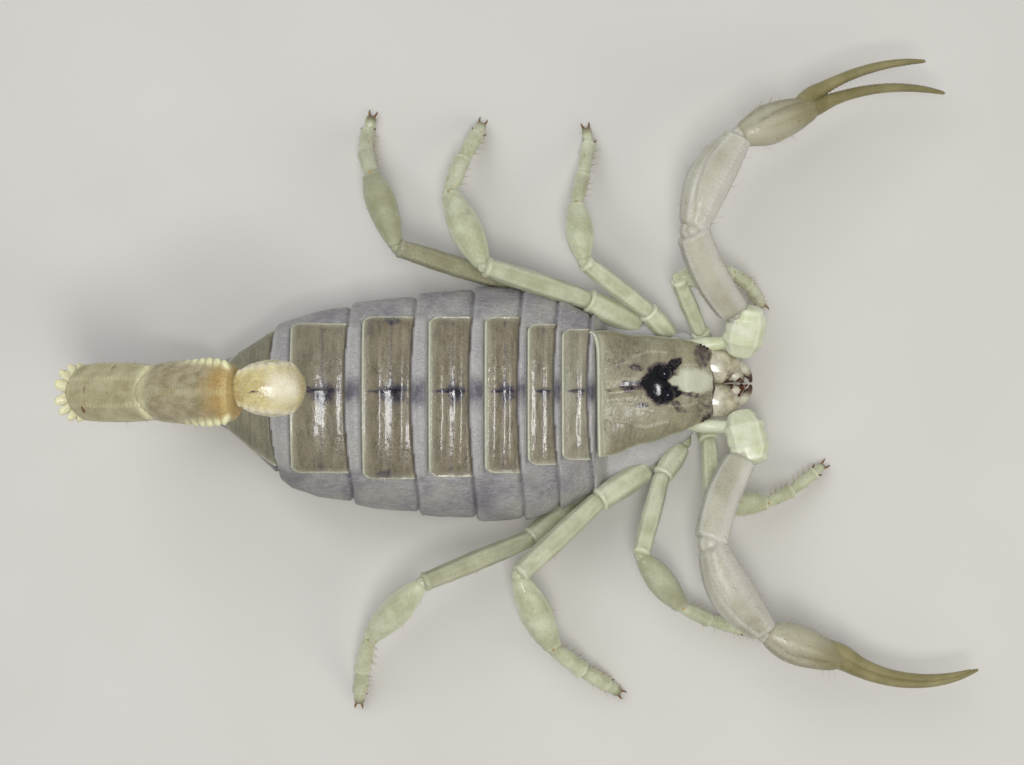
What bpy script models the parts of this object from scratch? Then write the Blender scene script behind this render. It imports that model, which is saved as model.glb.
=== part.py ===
"""A desert scorpion (family Buthidae), life size, standing still with its tail arched over its back.

The frame: +X is forwards, +Y is the scorpion's left, +Z is up, and the floor is z = 0.
All driving dimensions are in millimetres and degrees. Meshes are written in metres.
"""

import math

import bmesh
import bpy
from mathutils import Matrix, Vector

MM = 0.001
CUT = 0.06  # half-width of the thin cut that parts two neighbouring nodes
UP = Vector((0, 0, 1))
LEFT, RIGHT = 1, -1

# ---------------------------------------------------------------- finishes: linear RGB, roughness
FINISHES = {
    "leg_cuticle": ((0.50, 0.52, 0.36), 0.42),
    "arm_cuticle": ((0.47, 0.44, 0.36), 0.45),
    "hand_cuticle": ((0.26, 0.24, 0.12), 0.45),
    "back_plate": ((0.22, 0.20, 0.14), 0.35),
    "side_membrane": ((0.30, 0.29, 0.30), 0.50),
    "tail_cuticle": ((0.40, 0.34, 0.19), 0.50),
    "sting_cuticle": ((0.50, 0.42, 0.24), 0.30),
    "jaw_cuticle": ((0.36, 0.31, 0.20), 0.28),
    "eye_lens": ((0.01, 0.01, 0.012), 0.08),
}

# ---------------------------------------------------------------- carapace and the hips under it
HEAD_REAR_X = 4.22
HEAD_LENGTH = 5.85
HEAD_REAR_Y = -0.60
HEAD_YAW = math.tan(math.radians(6))  # the head turns a little to its left of the trunk
HEAD_UNDERSIDE = 2.72
HEAD_RIM = 0.30  # thickness of the carapace's edge
# along the carapace, from its rear edge (0) to its front edge (1): half width, height of the crest
HEAD_HALF_WIDTHS = ((0.0, 3.15), (0.12, 3.10), (0.40, 2.73), (0.72, 2.38), (0.90, 2.05), (1.0, 1.68))
HEAD_CRESTS = ((0.0, 4.35), (0.30, 4.50), (0.55, 4.55), (0.75, 4.15), (1.0, 3.50))
# the same for the soft flanks and hip plates under it: half width, middle
HIP_HALF_WIDTHS = ((0.0, 4.30), (0.40, 3.80), (0.75, 2.85), (1.0, 1.75))
HIP_MIDDLES = ((0.0, -1.12), (0.40, -0.73), (1.0, 0.0))
HIP_UNDERSIDES = ((0.0, 0.85), (1.0, 1.25))
EYE_ALONG = 0.525  # of the carapace's length
EYE_APART = 0.50  # half of the distance between the two median eyes
EYE_RADIUS = 0.36
# along a chelicera, in mm: half width, how far it toes in
CHELICERA = ((0.0, 0.72, 0.0), (0.35, 0.82, 0.0), (0.8, 0.80, 0.04), (1.2, 0.66, 0.14), (1.5, 0.46, 0.24),
             (1.78, 0.26, 0.34))
CHELICERA_APART = 0.86

# ---------------------------------------------------------------- trunk (mesosoma), seven segments
TRUNK_FRONT_X = 4.15
SEGMENT_LENGTHS = (1.75, 1.70, 2.13, 2.78, 3.32, 3.62, 3.50)
# at the trunk's front and at each segment's rear: half width, crest, underside
TRUNK_HALF_WIDTHS = (4.45, 5.20, 5.73, 5.78, 5.49, 5.03, 4.09, 1.62)
TRUNK_CRESTS = (4.45, 4.80, 5.15, 5.40, 5.45, 5.20, 4.75, 3.75)
TRUNK_UNDERSIDES = (1.10, 0.95, 0.55, 0.0, 0.0, 0.0, 0.0, 1.75)
TRUNK_WAIST = 0.60  # share of the height at which the flanks bulge most
BELLY_Y = -1.12
BELLY_FLATNESS = 1.04  # over 1, so that the trunk's underside is flat along its middle
CREST_SHIFT = 0.70  # the soft trunk leans, so its crest is to the left of its belly's middle
REAR_Y = -0.50

# ---------------------------------------------------------------- pectines (combs under the trunk)
PECTINE_ROOT = Vector((3.75, BELLY_Y, 0.50))
PECTINE_APART = 0.55  # half of the distance between the two roots
PECTINE_SPAN = Vector((-2.7, 2.75, -0.16))  # from root to tip, for the left one
PECTINE_TEETH = 10
PECTINE_WIDTHS = (0.62, 0.40)  # at the root and at the tip
PECTINE_THICKNESS = 0.40
PECTINE_NOTCH = 0.22  # depth of the notch between two teeth

# ---------------------------------------------------------------- tail (metasoma) and telson
TAIL_ROOT = Vector((-14.75, -0.50, 2.85))
TAIL_LENGTHS = (3.9, 4.2, 4.6, 5.2, 5.65)
TAIL_RISES = (30, 66, 96, 137, 134)  # degrees from straight back, turning up and over
TAIL_END_RISE = 162  # the way that the fifth segment's end faces
TAIL_LEAN = 0.004  # the tail drifts to the left by this share of its length
TAIL_WIDTHS = (3.1, 2.85, 2.65, 2.60, 2.78)
TAIL_DEPTHS = (2.7, 2.6, 2.45, 2.35, 2.25)
KEEL_LOBE = 0.30  # how far the third segment's end lobes stand out
SIDE_LOBE = 0.24  # the same for the last of the fifth segment's row of lobes
SIDE_OF_TAIL = Vector((0, -1, 0))
# along the telson, in mm from its joint: the turn of its path, its radius
TELSON_PATH = (
    (0.0, 170, 0.50), (0.35, 185, 0.66), (0.75, 208, 0.92), (1.2, 232, 1.16), (1.7, 250, 1.25),
    (2.2, 258, 1.22), (2.7, 264, 1.06), (3.15, 268, 0.78), (3.55, 270, 0.53), (3.95, 268, 0.43),
    (4.4, 262, 0.37), (4.9, 252, 0.31), (5.4, 240, 0.27), (5.9, 228, 0.23),
)
TELSON_DEPTH = 0.95  # of its width

# ---------------------------------------------------------------- legs
LEG_PIECES = ("trochanter", "femur", "patella", "tibia", "basitarsus", "telotarsus")
LEG_LENGTHS = {  # for leg pairs 1 to 4
    "trochanter": (1.2, 2.2, 3.4, 4.6),
    "femur": (3.45, 4.4, 5.7, 6.0),
    "patella": (3.1, 3.8, 4.45, 4.3),
    "tibia": (1.75, 2.2, 2.45, 2.35),
    "basitarsus": (1.8, 2.1, 2.0, 1.8),
    "telotarsus": (0.95, 1.1, 1.2, 1.2),
}
# seen from above, at each piece's root, at its fullest and at its end, for the third pair
LEG_WIDTHS = {
    "trochanter": (1.05, 1.30, 1.10),
    "femur": (0.95, 1.12, 0.95),
    "patella": (0.72, 1.64, 0.78),
    "tibia": (0.64, 0.86, 0.84),
    "basitarsus": (0.64, 0.80, 0.76),
    "telotarsus": (0.56, 0.60, 0.54),
}
FEMUR_DEPTH = 1.30  # height over width; the other pieces are round
LEG_GIRTHS = (0.78, 0.86, 1.0, 0.93)  # of the third pair's, for pairs 1 to 4
TOE_HEIGHT = 0.26
FLAT_UNDER = 0.14  # whatever of a toe is lower than this lies flat on the floor
# hip, then each piece's bearing in degrees from forwards (+ is left) and its rise in degrees;
# the last piece's rise is whatever brings the toe down to the floor
LEG_POSES = {
    "leg_left_1": ((9.90, 1.75, 1.6), (113, 116, 6, -32, -48, -55), (34, 34, -20, -30, -48)),
    "leg_left_2": ((8.15, 2.25, 1.9), (134, 144, 96, 76, 79, 95), (28, 24, -25, -40, -28)),
    "leg_left_3": ((6.60, 2.85, 1.9), (155, 163, 115, 71, 62, 68), (22, 19, -21, -35, -34)),
    "leg_left_4": ((4.10, 3.60, 1.7), (161, 163, 110, 108, 88, 74), (16, 18, -19, -57, -51)),
    "leg_right_1": ((9.80, -1.95, 1.6), (-78, -90, 0, 23, 35, 35), (26, 26, -20, -32, -27)),
    "leg_right_2": ((8.70, -3.20, 1.9), (-126, -107, -51, -29, -17, -22), (28, 24, -24, -40, -28)),
    "leg_right_3": ((7.00, -4.35, 1.9), (-149, -138, -65, -40, -35, -35), (22, 19, -21, -34, -38)),
    "leg_right_4": ((4.55, -5.05, 1.7), (-143, -159, -133, -104, -99, -95), (16, 18, -20, -36, -42)),
}
ROOM = 0.11  # clearance round the root of a limb where it sits in the body

# ---------------------------------------------------------------- pedipalps (pincer arms)
ARM_PIECES = ("trochanter", "femur", "patella", "hand")
ARM_LENGTHS = (2.4, 4.75, 5.35, 4.3)
ARM_WIDTHS = ((1.30, 2.45, 2.05), (1.60, 1.74, 1.66), (1.40, 2.26, 1.25), (1.05, 2.08, 1.30))
ARM_DEPTHS = (0.75, 0.88, 0.85, 0.90)  # height over width
HAND_FULLEST = 0.42  # share of the hand's length
PATELLA_BOW = 0.38  # the patella bulges outwards by this much
ARM_POSES = {
    "arm_left": ((9.95, 2.00, 3.1), (51, 119, 63, 22), (40, 13, -6, -13)),
    "arm_right": ((9.80, -2.10, 3.1), (-48, -106, -58, -21), (40, 13, -7, -13)),
}
# each finger: bearing at its root from the hand's, its bend in plan, its length, its place aside
FINGERS = {
    "arm_left": {"fixed": (12, -41, 6.4, 0.64), "movable": (0, -26, 6.4, -0.12)},
    "arm_right": {"fixed": (-7, 48, 7.6, -0.32), "movable": (-6, 45, 7.3, 0.24)},
}
FINGER_DROP = 9  # degrees below level
FINGER_WIDTHS = (0.56, 0.48)  # at the root and near the tip
FINGER_STEPS = 7


# ================================================================ solids from rings
def finish_for(name):
    """The material of that finish, made once."""
    if name in bpy.data.materials:
        return bpy.data.materials[name]
    colour, roughness = FINISHES[name]
    material = bpy.data.materials.new(name)
    material.use_nodes = True
    shader = material.node_tree.nodes["Principled BSDF"]
    shader.inputs["Base Color"].default_value = (*colour, 1)
    shader.inputs["Roughness"].default_value = roughness
    shader.inputs["Metallic"].default_value = 0
    return material


def solid(name, rings, finish, end_cap=None):
    """One closed body: a sphere whose circles of latitude are drawn out to the rings, root first.

    A ring is a list of points that turn left-handed seen from its root, from side to up.
    The sphere's poles close the two ends, in the rings' middles or at the given point.
    """
    columns = len(rings[0])
    bands = len(rings) + 1
    caps = {
        0: sum(rings[0], Vector()) / columns,
        bands: end_cap or sum(rings[-1], Vector()) / columns,
    }
    shape = bmesh.new()
    bmesh.ops.create_uvsphere(shape, u_segments=columns, v_segments=bands, radius=1)
    for vert in shape.verts:
        height = max(-1.0, min(1.0, vert.co.z))
        band = bands - round(math.acos(height) / math.pi * bands)
        column = round(math.atan2(vert.co.y, vert.co.x) / math.tau * columns) % columns
        vert.co = (caps[band] if band in caps else rings[band - 1][column]) * MM
    mesh = bpy.data.meshes.new(name)
    shape.to_mesh(mesh)
    shape.free()
    mesh.shade_smooth()
    mesh.set_sharp_from_angle(angle=math.radians(50))
    mesh.materials.append(finish_for(finish))
    node = bpy.data.objects.new(name, mesh)
    bpy.context.scene.collection.objects.link(node)
    return node


def angles(columns):
    return [math.tau * column / columns for column in range(columns)]


def signed_power(value, power):
    """A sine or cosine made squarer (power under 1), with its sign kept."""
    return math.copysign(abs(value) ** power, value)


def along_table(table, place):
    """A smooth value between the rows of a table of (place, value)."""
    for (low, first), (high, second) in zip(table, table[1:]):
        if place <= high:
            share = (place - low) / (high - low)
            return first + (second - first) * share * share * (3 - 2 * share)
    return table[-1][1]


def three_widths(widths, place, fullest):
    """Root, fullest and end width of a limb's piece, joined by half waves."""
    root, full, end = widths
    if place < fullest:
        return root + (full - root) * math.sin(place / fullest * math.pi / 2)
    return end + (full - end) * math.cos((place - fullest) / (1 - fullest) * math.pi / 2)


def heading(bearing, rise):
    turn, lift = math.radians(bearing), math.radians(rise)
    return Vector((math.cos(turn) * math.cos(lift), math.sin(turn) * math.cos(lift), math.sin(lift)))


def level_side(direction):
    """The level vector across a limb, to its left."""
    return UP.cross(direction).normalized()


def chain_of(start, headings, lengths):
    """The joints' places along a limb."""
    places = [Vector(start)]
    for direction, length in zip(headings, lengths):
        places.append(places[-1] + direction * length)
    return places


def mitres(headings):
    """The normal of the cut at each joint: square at both free ends, halving each bend between."""
    inner = [(first + second).normalized() for first, second in zip(headings, headings[1:])]
    return [headings[0], *inner, headings[-1]]


class Limb:
    """A chain of straight pieces, parted by mitred cuts at its joints."""

    def __init__(self, start, headings, lengths, columns, cuts=None, side=None):
        self.joints = chain_of(start, headings, lengths)
        self.headings = headings
        self.lengths = lengths
        self.columns = columns
        self.cuts = cuts or mitres(headings)
        self.side = side

    def rings(self, index, section, steps, gaps=(CUT, CUT)):
        """Rings of one piece; section(place, angle) gives (across, up) from its middle line."""
        root, direction, length = self.joints[index], self.headings[index], self.lengths[index]
        across = self.side or level_side(direction)
        upward = direction.cross(across)
        first_cut, last_cut = self.cuts[index], self.cuts[index + 1]
        rings = []
        for place in steps:
            ring = []
            for angle in angles(self.columns):
                wide, high = section(place, angle)
                offset = across * wide + upward * high
                first = gaps[0] - offset.dot(first_cut) / direction.dot(first_cut)
                last = length - gaps[1] - offset.dot(last_cut) / direction.dot(last_cut)
                ring.append(root + offset + direction * (first + (last - first) * place))
            rings.append(ring)
        return rings


def oval(widths, depth, fullest=0.5, swell=0.0, bow=0.0):
    """The section of a limb's piece: an oval whose width follows three widths, bowed sideways."""

    def section(place, angle):
        half = three_widths(widths, place, fullest) / 2 + swell
        aside = bow * math.sin(math.pi * place)
        return half * math.cos(angle) + aside, half * depth * math.sin(angle)

    return section


def round_ring(centre, across, upward, columns):
    return [centre + across * math.cos(angle) + upward * math.sin(angle) for angle in angles(columns)]


def cutter(name, rings):
    """A helper that makes room in the body for the root of a limb."""
    helper = solid(name, rings, "leg_cuticle")
    helper.hide_render = True
    helper.display_type = "WIRE"
    return helper


def make_room(node, helpers):
    for helper in helpers:
        cut = node.modifiers.new(helper.name, "BOOLEAN")
        cut.operation = "DIFFERENCE"
        cut.solver = "MANIFOLD"
        cut.object = helper


# ================================================================ legs
def leg_limb(pair, pose):
    """A leg's six pieces as a limb; its toe's rise is whatever ends at the floor."""
    hip, bearings, rises = pose
    lengths = [LEG_LENGTHS[piece][pair] for piece in LEG_PIECES]
    headings = [heading(bearing, rise) for bearing, rise in zip(bearings, rises)]
    height = hip[2] + sum(direction.z * length for direction, length in zip(headings, lengths))
    fall = math.degrees(math.asin((TOE_HEIGHT - height) / lengths[-1]))
    headings.append(heading(bearings[-1], fall))
    return Limb(hip, headings, lengths, columns=10)


def leg(name, pose):
    """Three nodes: thigh (trochanter and femur), patella, and foot (tibia and both tarsi)."""
    pair = int(name[-1]) - 1
    limb = leg_limb(pair, pose)

    def rings_of(piece, steps, gaps, swell=0.0):
        widths = [width * LEG_GIRTHS[pair] for width in LEG_WIDTHS[piece]]
        depth = FEMUR_DEPTH if piece == "femur" else 1.0
        section = oval(widths, depth, swell=swell)
        return limb.rings(LEG_PIECES.index(piece), section, steps, gaps)

    thigh = rings_of("trochanter", (0, 0.3, 0.65, 1), (CUT, 0))
    thigh += rings_of("femur", (0.15, 0.5, 0.85, 1), (0, CUT))
    solid(f"{name}_thigh", thigh, "leg_cuticle")
    patella = rings_of("patella", (0, 0.15, 0.35, 0.6, 0.85, 1), (CUT, CUT))
    solid(f"{name}_patella", patella, "leg_cuticle")
    foot = rings_of("tibia", (0, 0.3, 0.7, 1), (CUT, 0))
    foot += rings_of("basitarsus", (0.2, 0.6, 1), (0, 0))
    foot += rings_of("telotarsus", (0.5, 1), (0, 0))
    for point in (point for ring in foot for point in ring if point.z < FLAT_UNDER):
        point.z = 0.0
    toe = limb.joints[-1] + limb.headings[-1] * 0.15
    solid(f"{name}_foot", foot, "leg_cuticle", end_cap=Vector((toe.x, toe.y, 0)))

    room = rings_of("trochanter", (0, 0.3, 0.65, 1), (-ROOM, 0), ROOM)
    room += rings_of("femur", (0.15, 0.5, 1), (0, 0), ROOM)
    return cutter(f"{name}_room", room)


# ================================================================ pedipalps
def finger_rings(start, bearing, bend, length, columns):
    """Rings along a finger that curves evenly in plan, sinks a little and ends in a blunt point."""
    rings = []
    place = Vector(start)
    for step in range(FINGER_STEPS + 1):
        share = step / FINGER_STEPS
        direction = heading(bearing + bend * share, -FINGER_DROP)
        half = (FINGER_WIDTHS[0] + (FINGER_WIDTHS[1] - FINGER_WIDTHS[0]) * share) / 2
        if step == FINGER_STEPS:
            half *= 0.55
        across = level_side(direction)
        rings.append(round_ring(place, across * half, direction.cross(across) * half * 1.1, columns))
        place = place + direction * (length / FINGER_STEPS)
    return rings


def arm(name, pose):
    """Five nodes: trochanter, femur, patella, hand with its fixed finger, and movable finger."""
    root, bearings, rises = pose
    headings = [heading(bearing, rise) for bearing, rise in zip(bearings, rises)]
    limb = Limb(root, headings, ARM_LENGTHS, columns=12)
    outwards = LEFT if name == "arm_left" else RIGHT
    steps = (0, 0.15, 0.35, 0.6, 0.85, 1)
    for index, piece in enumerate(ARM_PIECES[:3]):
        bow = outwards * PATELLA_BOW if piece == "patella" else 0.0
        section = oval(ARM_WIDTHS[index], ARM_DEPTHS[index], bow=bow)
        solid(f"{name}_{piece}", limb.rings(index, section, steps), "arm_cuticle")

    palm = limb.rings(3, oval(ARM_WIDTHS[3], ARM_DEPTHS[3], HAND_FULLEST), steps[:5], (CUT, 0))
    fingers = {}
    for finger, (turn, bend, length, aside) in FINGERS[name].items():
        start = limb.joints[-1] + level_side(headings[3]) * aside
        fingers[finger] = finger_rings(start, bearings[3] + turn, bend, length, limb.columns)
    solid(f"{name}_hand", palm + fingers["fixed"], "hand_cuticle")
    solid(f"{name}_finger", fingers["movable"], "hand_cuticle")

    roomy = oval(ARM_WIDTHS[0], ARM_DEPTHS[0], swell=ROOM)
    return cutter(f"{name}_room", limb.rings(0, roomy, (0, 0.3, 0.6), (-ROOM, 0)))


# ================================================================ trunk
def between(values, place):
    """A value between the trunk's seams, which are at whole numbers from 0 to 7."""
    low = min(int(place), len(values) - 2)
    return values[low] + (values[low + 1] - values[low]) * (place - low)


def trunk_point(place, angle, bulge=0.0):
    """A point of the trunk's skin. Angle 0 is its left flank and a quarter turn is its crest."""
    passed = int(min(place, len(SEGMENT_LENGTHS) - 1))
    x = TRUNK_FRONT_X - sum(SEGMENT_LENGTHS[:passed]) - SEGMENT_LENGTHS[passed] * (place - passed)
    half = between(TRUNK_HALF_WIDTHS, place) + bulge
    crest = between(TRUNK_CRESTS, place)
    base = between(TRUNK_UNDERSIDES, place)
    waist = base + (crest - base) * TRUNK_WAIST
    rearward = max(0.0, place - 6)
    middle = BELLY_Y + (REAR_Y - BELLY_Y) * rearward
    across, up = math.cos(angle), math.sin(angle)
    if up >= 0:
        y = middle + half * signed_power(across, 0.85) + CREST_SHIFT * (1 - rearward) * up
        return Vector((x, y, waist + (crest - waist) * up**0.85))
    y = middle + half * signed_power(across, 0.80) * (1 - 0.24 * abs(up) ** 0.7)
    depth = min(1.0, BELLY_FLATNESS * abs(up) ** 0.62)
    return Vector((x, y, waist - (waist - base) * depth))


def trunk():
    """Seven nodes, one for each segment, parted by thin upright cuts."""
    nodes = []
    for index, length in enumerate(SEGMENT_LENGTHS):
        seam = CUT / 3 / length
        rings = []
        for place, bulge in ((seam, 0.0), (0.35, 0.06), (0.75, 0.08), (1 - seam, 0.0)):
            turned = [(math.pi - angle) % math.tau for angle in angles(20)]
            rings.append([trunk_point(index + place, angle, bulge) for angle in turned])
        nodes.append(solid(f"mesosoma_{index + 1}", rings, "back_plate"))
    return nodes


# ================================================================ head
def head_middle(place):
    return HEAD_REAR_Y + HEAD_YAW * place * HEAD_LENGTH


def carapace():
    """A low dome with a flat underside, narrowing forwards."""
    rings = []
    for place in (0, 0.1, 0.25, 0.4, 0.55, 0.68, 0.8, 0.9, 0.97, 1):
        half = along_table(HEAD_HALF_WIDTHS, place)
        crest = along_table(HEAD_CRESTS, place)
        rim = HEAD_UNDERSIDE + HEAD_RIM
        ring = []
        for angle in angles(20):
            across, up = math.cos(angle), math.sin(angle)
            height = (crest - rim) * up**0.75 if up >= 0 else -HEAD_RIM * abs(up) ** 0.4
            y = head_middle(place) + half * signed_power(across, 0.8)
            ring.append(Vector((HEAD_REAR_X + place * HEAD_LENGTH, y, rim + height)))
        rings.append(ring)
    solid("carapace", rings, "back_plate")


def hip_body():
    """The flanks, hip plates and breastbone under the carapace."""
    top = HEAD_UNDERSIDE - 2 * CUT
    rings = []
    for place in (0, 0.2, 0.4, 0.6, 0.8, 0.98):
        half = along_table(HIP_HALF_WIDTHS, place)
        middle = along_table(HIP_MIDDLES, place)
        base = along_table(HIP_UNDERSIDES, place)
        waist = base + (top - base) * 0.7
        ring = []
        for angle in angles(20):
            across, up = math.cos(angle), math.sin(angle)
            height = (top - waist) * up**0.5 if up >= 0 else -(waist - base) * abs(up) ** 0.6
            y = middle + half * signed_power(across, 0.8) * (1 + 0.25 * min(0.0, up))
            ring.append(Vector((HEAD_REAR_X + place * HEAD_LENGTH, y, waist + height)))
        rings.append(ring)
    return solid("coxosternum", rings, "side_membrane")


def median_eyes():
    """Two round lenses on the crest, each looking up and outwards."""
    for side, name in ((LEFT, "eye_left"), (RIGHT, "eye_right")):
        gaze = Vector((0.1, side * 0.45, 1)).normalized()
        across = gaze.cross(Vector((1, 0, 0))).normalized()
        along = gaze.cross(across)
        seat = Vector(
            (
                HEAD_REAR_X + EYE_ALONG * HEAD_LENGTH,
                head_middle(EYE_ALONG) + side * EYE_APART,
                along_table(HEAD_CRESTS, EYE_ALONG) + CUT,
            )
        )
        rings = []
        for lift in (0.0, 0.35, 0.7, 0.92):
            spread = math.sqrt(1 - lift * lift) * EYE_RADIUS
            rings.append(round_ring(seat + gaze * lift * EYE_RADIUS, across * spread, along * spread, 12))
        solid(name, rings, "eye_lens", end_cap=seat + gaze * EYE_RADIUS)


def chelicerae():
    """Two jaw pincers in front of the carapace, each a bulb with a short curved tip."""
    for side, name in ((LEFT, "chelicera_left"), (RIGHT, "chelicera_right")):
        root = Vector((HEAD_REAR_X + HEAD_LENGTH + 2 * CUT, head_middle(1) + side * CHELICERA_APART, 2.75))
        rings = []
        for along, half, toe_in in CHELICERA:
            centre = root + Vector((along, -side * toe_in, -0.12 * along))
            rings.append(round_ring(centre, Vector((0, half, 0)), Vector((0, 0, 0.9 * half)), 12))
        solid(name, rings, "jaw_cuticle")


def pectines():
    """Two combs under the trunk's front, each a flat bar with its rear edge notched into teeth."""
    for side, name in ((LEFT, "pectine_left"), (RIGHT, "pectine_right")):
        span = Vector((PECTINE_SPAN.x, PECTINE_SPAN.y * side, PECTINE_SPAN.z))
        rearward = Vector((-abs(span.y), span.x * side, 0)).normalized()
        root = PECTINE_ROOT + Vector((0, side * PECTINE_APART, 0))
        rings = []
        for step in range(2 * PECTINE_TEETH + 1):
            share = step / (2 * PECTINE_TEETH)
            width = PECTINE_WIDTHS[0] + (PECTINE_WIDTHS[1] - PECTINE_WIDTHS[0]) * share
            notch = PECTINE_NOTCH if step % 2 == 0 else 0.0
            middle = root + span * share + rearward * (width - notch) / 2
            rings.append(
                round_ring(middle, rearward * side * (width - notch) / 2, UP * PECTINE_THICKNESS / 2, 6)
            )
        solid(name, rings, "leg_cuticle")


# ================================================================ tail
def tail_heading(rise):
    """A heading in the tail's upright plane: 0 is back, 90 is up and 180 is forwards."""
    turn = math.radians(rise)
    return Vector((-math.cos(turn), TAIL_LEAN, math.sin(turn))).normalized()


def end_lobes(place, column):
    """Lobes on the third segment's rear rim, the largest on its two lowest keels."""
    if place < 1:
        return 0.0
    return KEEL_LOBE * {11: 1.0, 13: 1.0, 9: 0.6, 15: 0.6}.get(column, 0.0)


def side_lobes(place, column):
    """A row of lobes along the fifth segment's lower side keels, growing rearwards."""
    first, last, count = 0.3, 0.8, 5
    if column not in (9, 15) or not first <= place <= last:
        return 0.0
    tooth = round((place - first) / (last - first) * 2 * count)
    return SIDE_LOBE * (0.4 + 0.06 * tooth) * (tooth % 2)


def tail_section(width, depth, lobes):
    """A squarish section, slimmer at its root; its keels' lobes stand out from it."""
    columns = 16

    def section(place, angle):
        slim = 0.90 + 0.10 * math.sin(math.pi * min(1.0, 0.15 + 0.85 * place))
        lobe = lobes(place, round(angle / math.tau * columns))
        across, up = signed_power(math.cos(angle), 0.78), signed_power(math.sin(angle), 0.78)
        return (width / 2 * slim + lobe) * across, (depth / 2 * slim + lobe) * up

    return section


def tail():
    """Five nodes for the segments, and the telson with its sting as a sixth."""
    headings = [tail_heading(rise) for rise in TAIL_RISES]
    cuts = [Vector((-1, 0, 0)), *mitres(headings)[1:-1], tail_heading(TAIL_END_RISE)]
    limb = Limb(TAIL_ROOT, headings, TAIL_LENGTHS, 16, cuts, SIDE_OF_TAIL)
    plain = (0, 0.15, 0.4, 0.7, 0.9, 1)
    toothed = (0, 0.12, *(0.3 + 0.05 * step for step in range(11)), 0.9, 1)
    for index, (width, depth) in enumerate(zip(TAIL_WIDTHS, TAIL_DEPTHS)):
        lobes = {2: end_lobes, 4: side_lobes}.get(index, lambda place, column: 0.0)
        rings = limb.rings(index, tail_section(width, depth, lobes), toothed if index == 4 else plain)
        solid(f"metasoma_{index + 1}", rings, "tail_cuticle")

    place = limb.joints[-1] + cuts[-1] * (2 * CUT)
    reached = 0.0
    rings = []
    for along, rise, radius in TELSON_PATH:
        direction = tail_heading(rise)
        place = place + direction * (along - reached)
        reached = along
        upward = direction.cross(SIDE_OF_TAIL)
        rings.append(round_ring(place, SIDE_OF_TAIL * radius, upward * radius * TELSON_DEPTH, 16))
    solid("telson", rings, "sting_cuticle")


# ================================================================ the whole animal
def centre_over_origin():
    """Moves every mesh so that the middle of the model's box stands over the origin."""
    graph = bpy.context.evaluated_depsgraph_get()
    nodes = list(bpy.context.scene.objects)
    shown = [node.evaluated_get(graph) for node in nodes if not node.hide_render]
    corners = [Vector(corner) for node in shown for corner in node.bound_box]
    middle = [(min(c[axis] for c in corners) + max(c[axis] for c in corners)) / 2 for axis in (0, 1)]
    for node in nodes:
        node.data.transform(Matrix.Translation((-middle[0], -middle[1], 0)))


def main():
    for left_over in list(bpy.data.objects):
        bpy.data.objects.remove(left_over)
    carapace()
    median_eyes()
    chelicerae()
    hips = hip_body()
    segments = trunk()
    pectines()
    tail()
    rooms = [leg(name, pose) for name, pose in LEG_POSES.items()]
    rooms += [arm(name, pose) for name, pose in ARM_POSES.items()]
    make_room(hips, rooms)
    for segment in segments[:3]:
        make_room(segment, [room for room in rooms if room.name.endswith(("3_room", "4_room"))])
    centre_over_origin()


main()
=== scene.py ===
"""A desert scorpion at life size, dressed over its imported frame.

Sizes are in millimetres about the animal's own middle, with +X forwards, +Y to its left and +Z up. A
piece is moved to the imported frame, in metres, when it is placed.
"""

import logging
import math
import random
from collections.abc import Callable, Iterable, Sequence
from dataclasses import dataclass, field
from enum import Enum
from typing import Any, NamedTuple

import bmesh
import bpy
from mathutils import Matrix, Vector, noise


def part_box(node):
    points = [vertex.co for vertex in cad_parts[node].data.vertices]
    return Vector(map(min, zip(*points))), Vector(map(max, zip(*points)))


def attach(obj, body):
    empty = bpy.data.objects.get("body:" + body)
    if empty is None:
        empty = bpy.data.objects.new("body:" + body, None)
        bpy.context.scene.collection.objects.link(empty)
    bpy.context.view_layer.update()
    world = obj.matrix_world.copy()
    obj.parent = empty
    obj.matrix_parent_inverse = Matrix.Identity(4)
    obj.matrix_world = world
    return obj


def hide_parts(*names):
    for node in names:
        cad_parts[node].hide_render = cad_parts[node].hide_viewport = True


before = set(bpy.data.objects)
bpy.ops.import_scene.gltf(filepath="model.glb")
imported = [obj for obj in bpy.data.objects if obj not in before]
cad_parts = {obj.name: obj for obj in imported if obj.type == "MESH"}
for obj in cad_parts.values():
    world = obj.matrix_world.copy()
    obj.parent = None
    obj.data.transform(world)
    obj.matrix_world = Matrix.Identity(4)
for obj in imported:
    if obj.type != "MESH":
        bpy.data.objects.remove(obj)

log = logging.getLogger("scorpion")

MM = 0.001
UP = Vector((0, 0, 1))
MARKS = ("edge", "pigment_and_shade", "along")
FLOOR_GAP = 0.004  # how far above the floor every piece is kept
HEAD_REAR_X = 4.22
EYES_Y = -0.2772  # midway between the two big eyes


class Side(Enum):
    """Which side of the animal a piece is on."""

    LEFT = 1
    RIGHT = -1


class Spot(NamedTuple):
    """One point of a skin, and what it tells its finish.

    edge is how much it is a pale rim or keel or a painted highlight or glow, the dark mark is how much dark
    pigment or painted shade it holds, and along is its place along its piece, from 0 to 1.
    """

    point: Vector
    edge: float = 0.0
    pigment_and_shade: float = 0.0
    along: float = 0.0


Surface = Callable[[float, float], Spot]
Relief = tuple[float, float, float]
Table = tuple[tuple[float, float], ...]


# ---- small sums
def bell(value: float, centre: float, width: float) -> float:
    """A smooth bump of height 1 at centre."""
    return math.exp(-(((value - centre) / width) ** 2))


def step(low: float, high: float, value: float) -> float:
    """Rises smoothly from 0 at low to 1 at high."""
    share = min(1.0, max(0.0, (value - low) / (high - low)))
    return share * share * (3 - 2 * share)


def squared(value: float, power: float) -> float:
    """A sine or cosine made squarer by a power under 1, with its sign kept."""
    return math.copysign(abs(value) ** power, value)


def apart(angle: float, other: float) -> float:
    """The shortest turn between two angles, in radians."""
    return abs((angle - other + math.pi) % math.tau - math.pi)


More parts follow.
